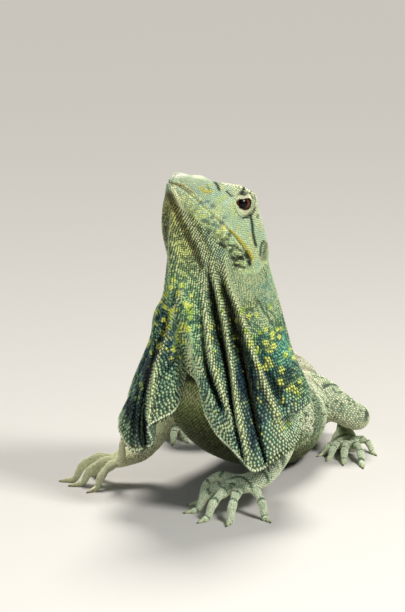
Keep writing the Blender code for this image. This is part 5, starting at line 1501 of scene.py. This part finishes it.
def make_eye(side, material):
    """An eyeball with its dark pupil, brown iris ring and dark rim."""
    centre, gaze, back, up = eye_frame(side)
    across = circle(turns(64, 0), back[None], up[None])[0]
    lean = np.linspace(0.02, math.pi - 0.02, 70)
    size = EYE_RADIUS * (1 + 0.05 * bell(lean, 0.5))
    rings = [centre + k * (gaze * math.cos(a) + across * math.sin(a)) for a, k in zip(lean, size)]
    points, quads, fans = tube(np.array(rings))
    look = unit(np.array(EYE_LOOK) * (1, side, 1) @ AXES)
    off = np.degrees(np.arccos(np.clip(unit(points - centre) @ look, -1, 1)))
    paint = np.tile(colour(5, 5, 6), (len(points), 1))
    blend(paint, colour(76, 40, 19) * (1 + 0.3 * waves(points, 0.5, 77))[:, None], ramp(off, 26.0, 30.0))
    blend(paint, colour(124, 68, 30), 0.35 * bell(off - 31.0, 2.0))
    blend(paint, colour(40, 24, 16), ramp(off, 44.0, 54.0))
    eye = face_out(mesh_of(side_name("eyeball", side), points, [quads, fans], paint))
    eye.data.materials.append(material)
    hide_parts(side_name("eye", side))
    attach(eye, "root")


def make_claws(material):
    """All claws, each a horn darker at its tip."""
    grey, straw = (colour(168, 180, 140), colour(60, 60, 42)), (colour(214, 208, 164), colour(120, 108, 74))
    for limb, _, _, digits, light in LIMBS:
        name = limb.replace("arm", "hand").replace("leg", "foot")
        claws = face_out(merged(f"{name}_claws", *(tube(claw_rings(*digit)) for digit in digits)))
        along = np.append(np.repeat(np.linspace(0, 1, CLAW_RINGS), CLAW_SIDES), (0.0, 1.0))
        pale, dark = straw if light else grey
        shade = ramp(np.tile(along, len(digits)), 0.35, 0.95)[:, None]
        give_paint(claws.data, pale + (dark - pale) * shade)
        claws.data.materials.append(material)
        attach(claws, "root")


def skin_paint(skin, scales, depth):
    """The skin takes the colour of the scales that stand on it, darkened as painted shade in the gaps between
    them.
    """
    places, tints = scales.places()
    tree = KDTree(len(places))
    for i, p in enumerate(places):
        tree.insert(p, i)
    tree.balance()
    nearest = np.array([tree.find(p)[1] for p in read_points(skin.data)])
    give_paint(skin.data, tints[nearest] * depth)


def put(name, data, place, aim):
    """Adds a lamp or camera at a place of the animal's frame, turned along a direction."""
    made = bpy.data.objects.new(name, data)
    bpy.context.scene.collection.objects.link(made)
    made.location = (np.array(place) + SHIFT) * MM
    made.rotation_mode = "QUATERNION"
    made.rotation_quaternion = Vector(aim).to_track_quat("-Z", "Y")
    return made


def stage():
    """A plain pale floor, soft light from above and the sides, and the camera."""
    corners = [(-FLOOR_HALF, -FLOOR_HALF, 0), (FLOOR_HALF, -FLOOR_HALF, 0)]
    corners += [(FLOOR_HALF, FLOOR_HALF, 0), (-FLOOR_HALF, FLOOR_HALF, 0)]
    floor = mesh_of("floor", corners, [[(0, 1, 2, 3)]])
    floor.data.materials.append(plain("floor", (0.50, 0.49, 0.47), 0.85))
    world = bpy.data.worlds.new("studio")
    world.use_nodes = True
    world.node_tree.nodes["Background"].inputs["Color"].default_value = (0.80, 0.84, 0.90, 1.0)
    world.node_tree.nodes["Background"].inputs["Strength"].default_value = 0.12
    bpy.context.scene.world = world
    for name, place, power, size, tint in LAMPS:
        lamp = bpy.data.lights.new(name, "AREA")
        lamp.energy, lamp.size, lamp.color = power, size * MM, tint
        put(name, lamp, place, np.array(LAMP_TARGET) - place)
    sky = bpy.data.lights.new("top", "SUN")
    sky.energy, sky.angle, sky.color = 3.6, math.radians(SUN_WIDTH), (1.0, 0.95, 0.88)
    put("top", sky, -SHIFT, SUN_DOWN)
    camera = bpy.data.cameras.new("camera")
    camera.lens, camera.sensor_width, camera.sensor_height = LENS, SENSOR, SENSOR
    camera.sensor_fit, camera.clip_start = "AUTO", 0.01
    bpy.context.scene.camera = put("camera", camera, AIM + VIEW_BACK * DISTANCE, -VIEW_BACK)
    bpy.context.scene.view_settings.view_transform = "Standard"


def part_painter(paint, first, reach, *rest):
    """A painter that gets its share of the way along a longer form."""
    return lambda place, normal, share: paint(place, normal, first + reach * share, *rest)


def lay_scales(scales, skin):
    """Scales over the head, trunk, tail, limbs and digits."""
    tube_scales(scales, skin, "head", head_rings(), (0.62, 0.8), paint_head, (0.02, 0.52), head_keep)
    lid_scales(scales, skin)
    plates(scales, skin)
    neck_share = 0.33
    trunk = part_painter(paint_body, 0.0, neck_share)
    tube_scales(scales, skin, "trunk", body_rings(0.4, TORSO_END, 96), (1.0, 1.15), trunk, (0.12, 0.52))
    tail = part_painter(paint_body, neck_share, 0.67)
    tube_scales(scales, skin, "tail", tail_rings(), (1.25, 0.7), tail, (0.22, 0.52), tall=0.15)
    for k, (name, rows, _, digits, pale) in enumerate(LIMBS):
        left = 0.02 + 0.1 * k
        rings = limb_rings(rows, 0.0, len(rows) - 1.0, 60)
        painter = part_painter(paint_limb, 0.0, 1.0, pale, 6.0)
        tube_scales(scales, skin, name, rings, (1.05, 0.8), painter, (left, 0.64))
        painter = part_painter(paint_limb, 0.7, 0.3, pale, 14.0)
        for m, digit in enumerate(digits):
            rings, title = hoops(*digit_path(*digit)), f"{name}_digit_{m + 1}"
            corner = (left, 0.76 + 0.02 * m)
            tube_scales(scales, skin, title, rings, (0.66, 0.55), painter, corner, limit=0.5)


def main():
    """Makes all pieces and the stage."""
    skin = make_skin()
    skin_tree = tree_of(skin)
    frill, outer, inner, near = make_frill(skin_tree)
    scales = Scales()
    frill_scales(scales, outer, inner, near)
    lay_scales(scales, skin_tree)
    scales.build(scaly("scales", 0.55, 0.25, 0.16, shine=0.22))
    hide = scaly("skin", 0.65, 0.35, 0.22, shine=0.15)
    flesh = [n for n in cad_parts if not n.startswith(("eye_", "frill_"))]
    # The number after each body is how much of its scales' colour its bare skin keeps: painted shade between
    # the scales.
    bodies = ((skin, 0.5, flesh, "skin"), (frill, 0.22, ("frill_left", "frill_right"), "frill_skin"))
    for body, depth, nodes, slot in bodies:
        skin_paint(body, scales, depth)
        body.data.materials.clear()
        body.data.materials.append(hide)
        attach(body, "root")
        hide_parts(*nodes)
    wet = glossy("eye", 0.2, 0.01)
    for side in (1, -1):
        make_eye(side, wet)
    make_claws(glossy("claw", 0.32, 0.2))
    stage()


main()
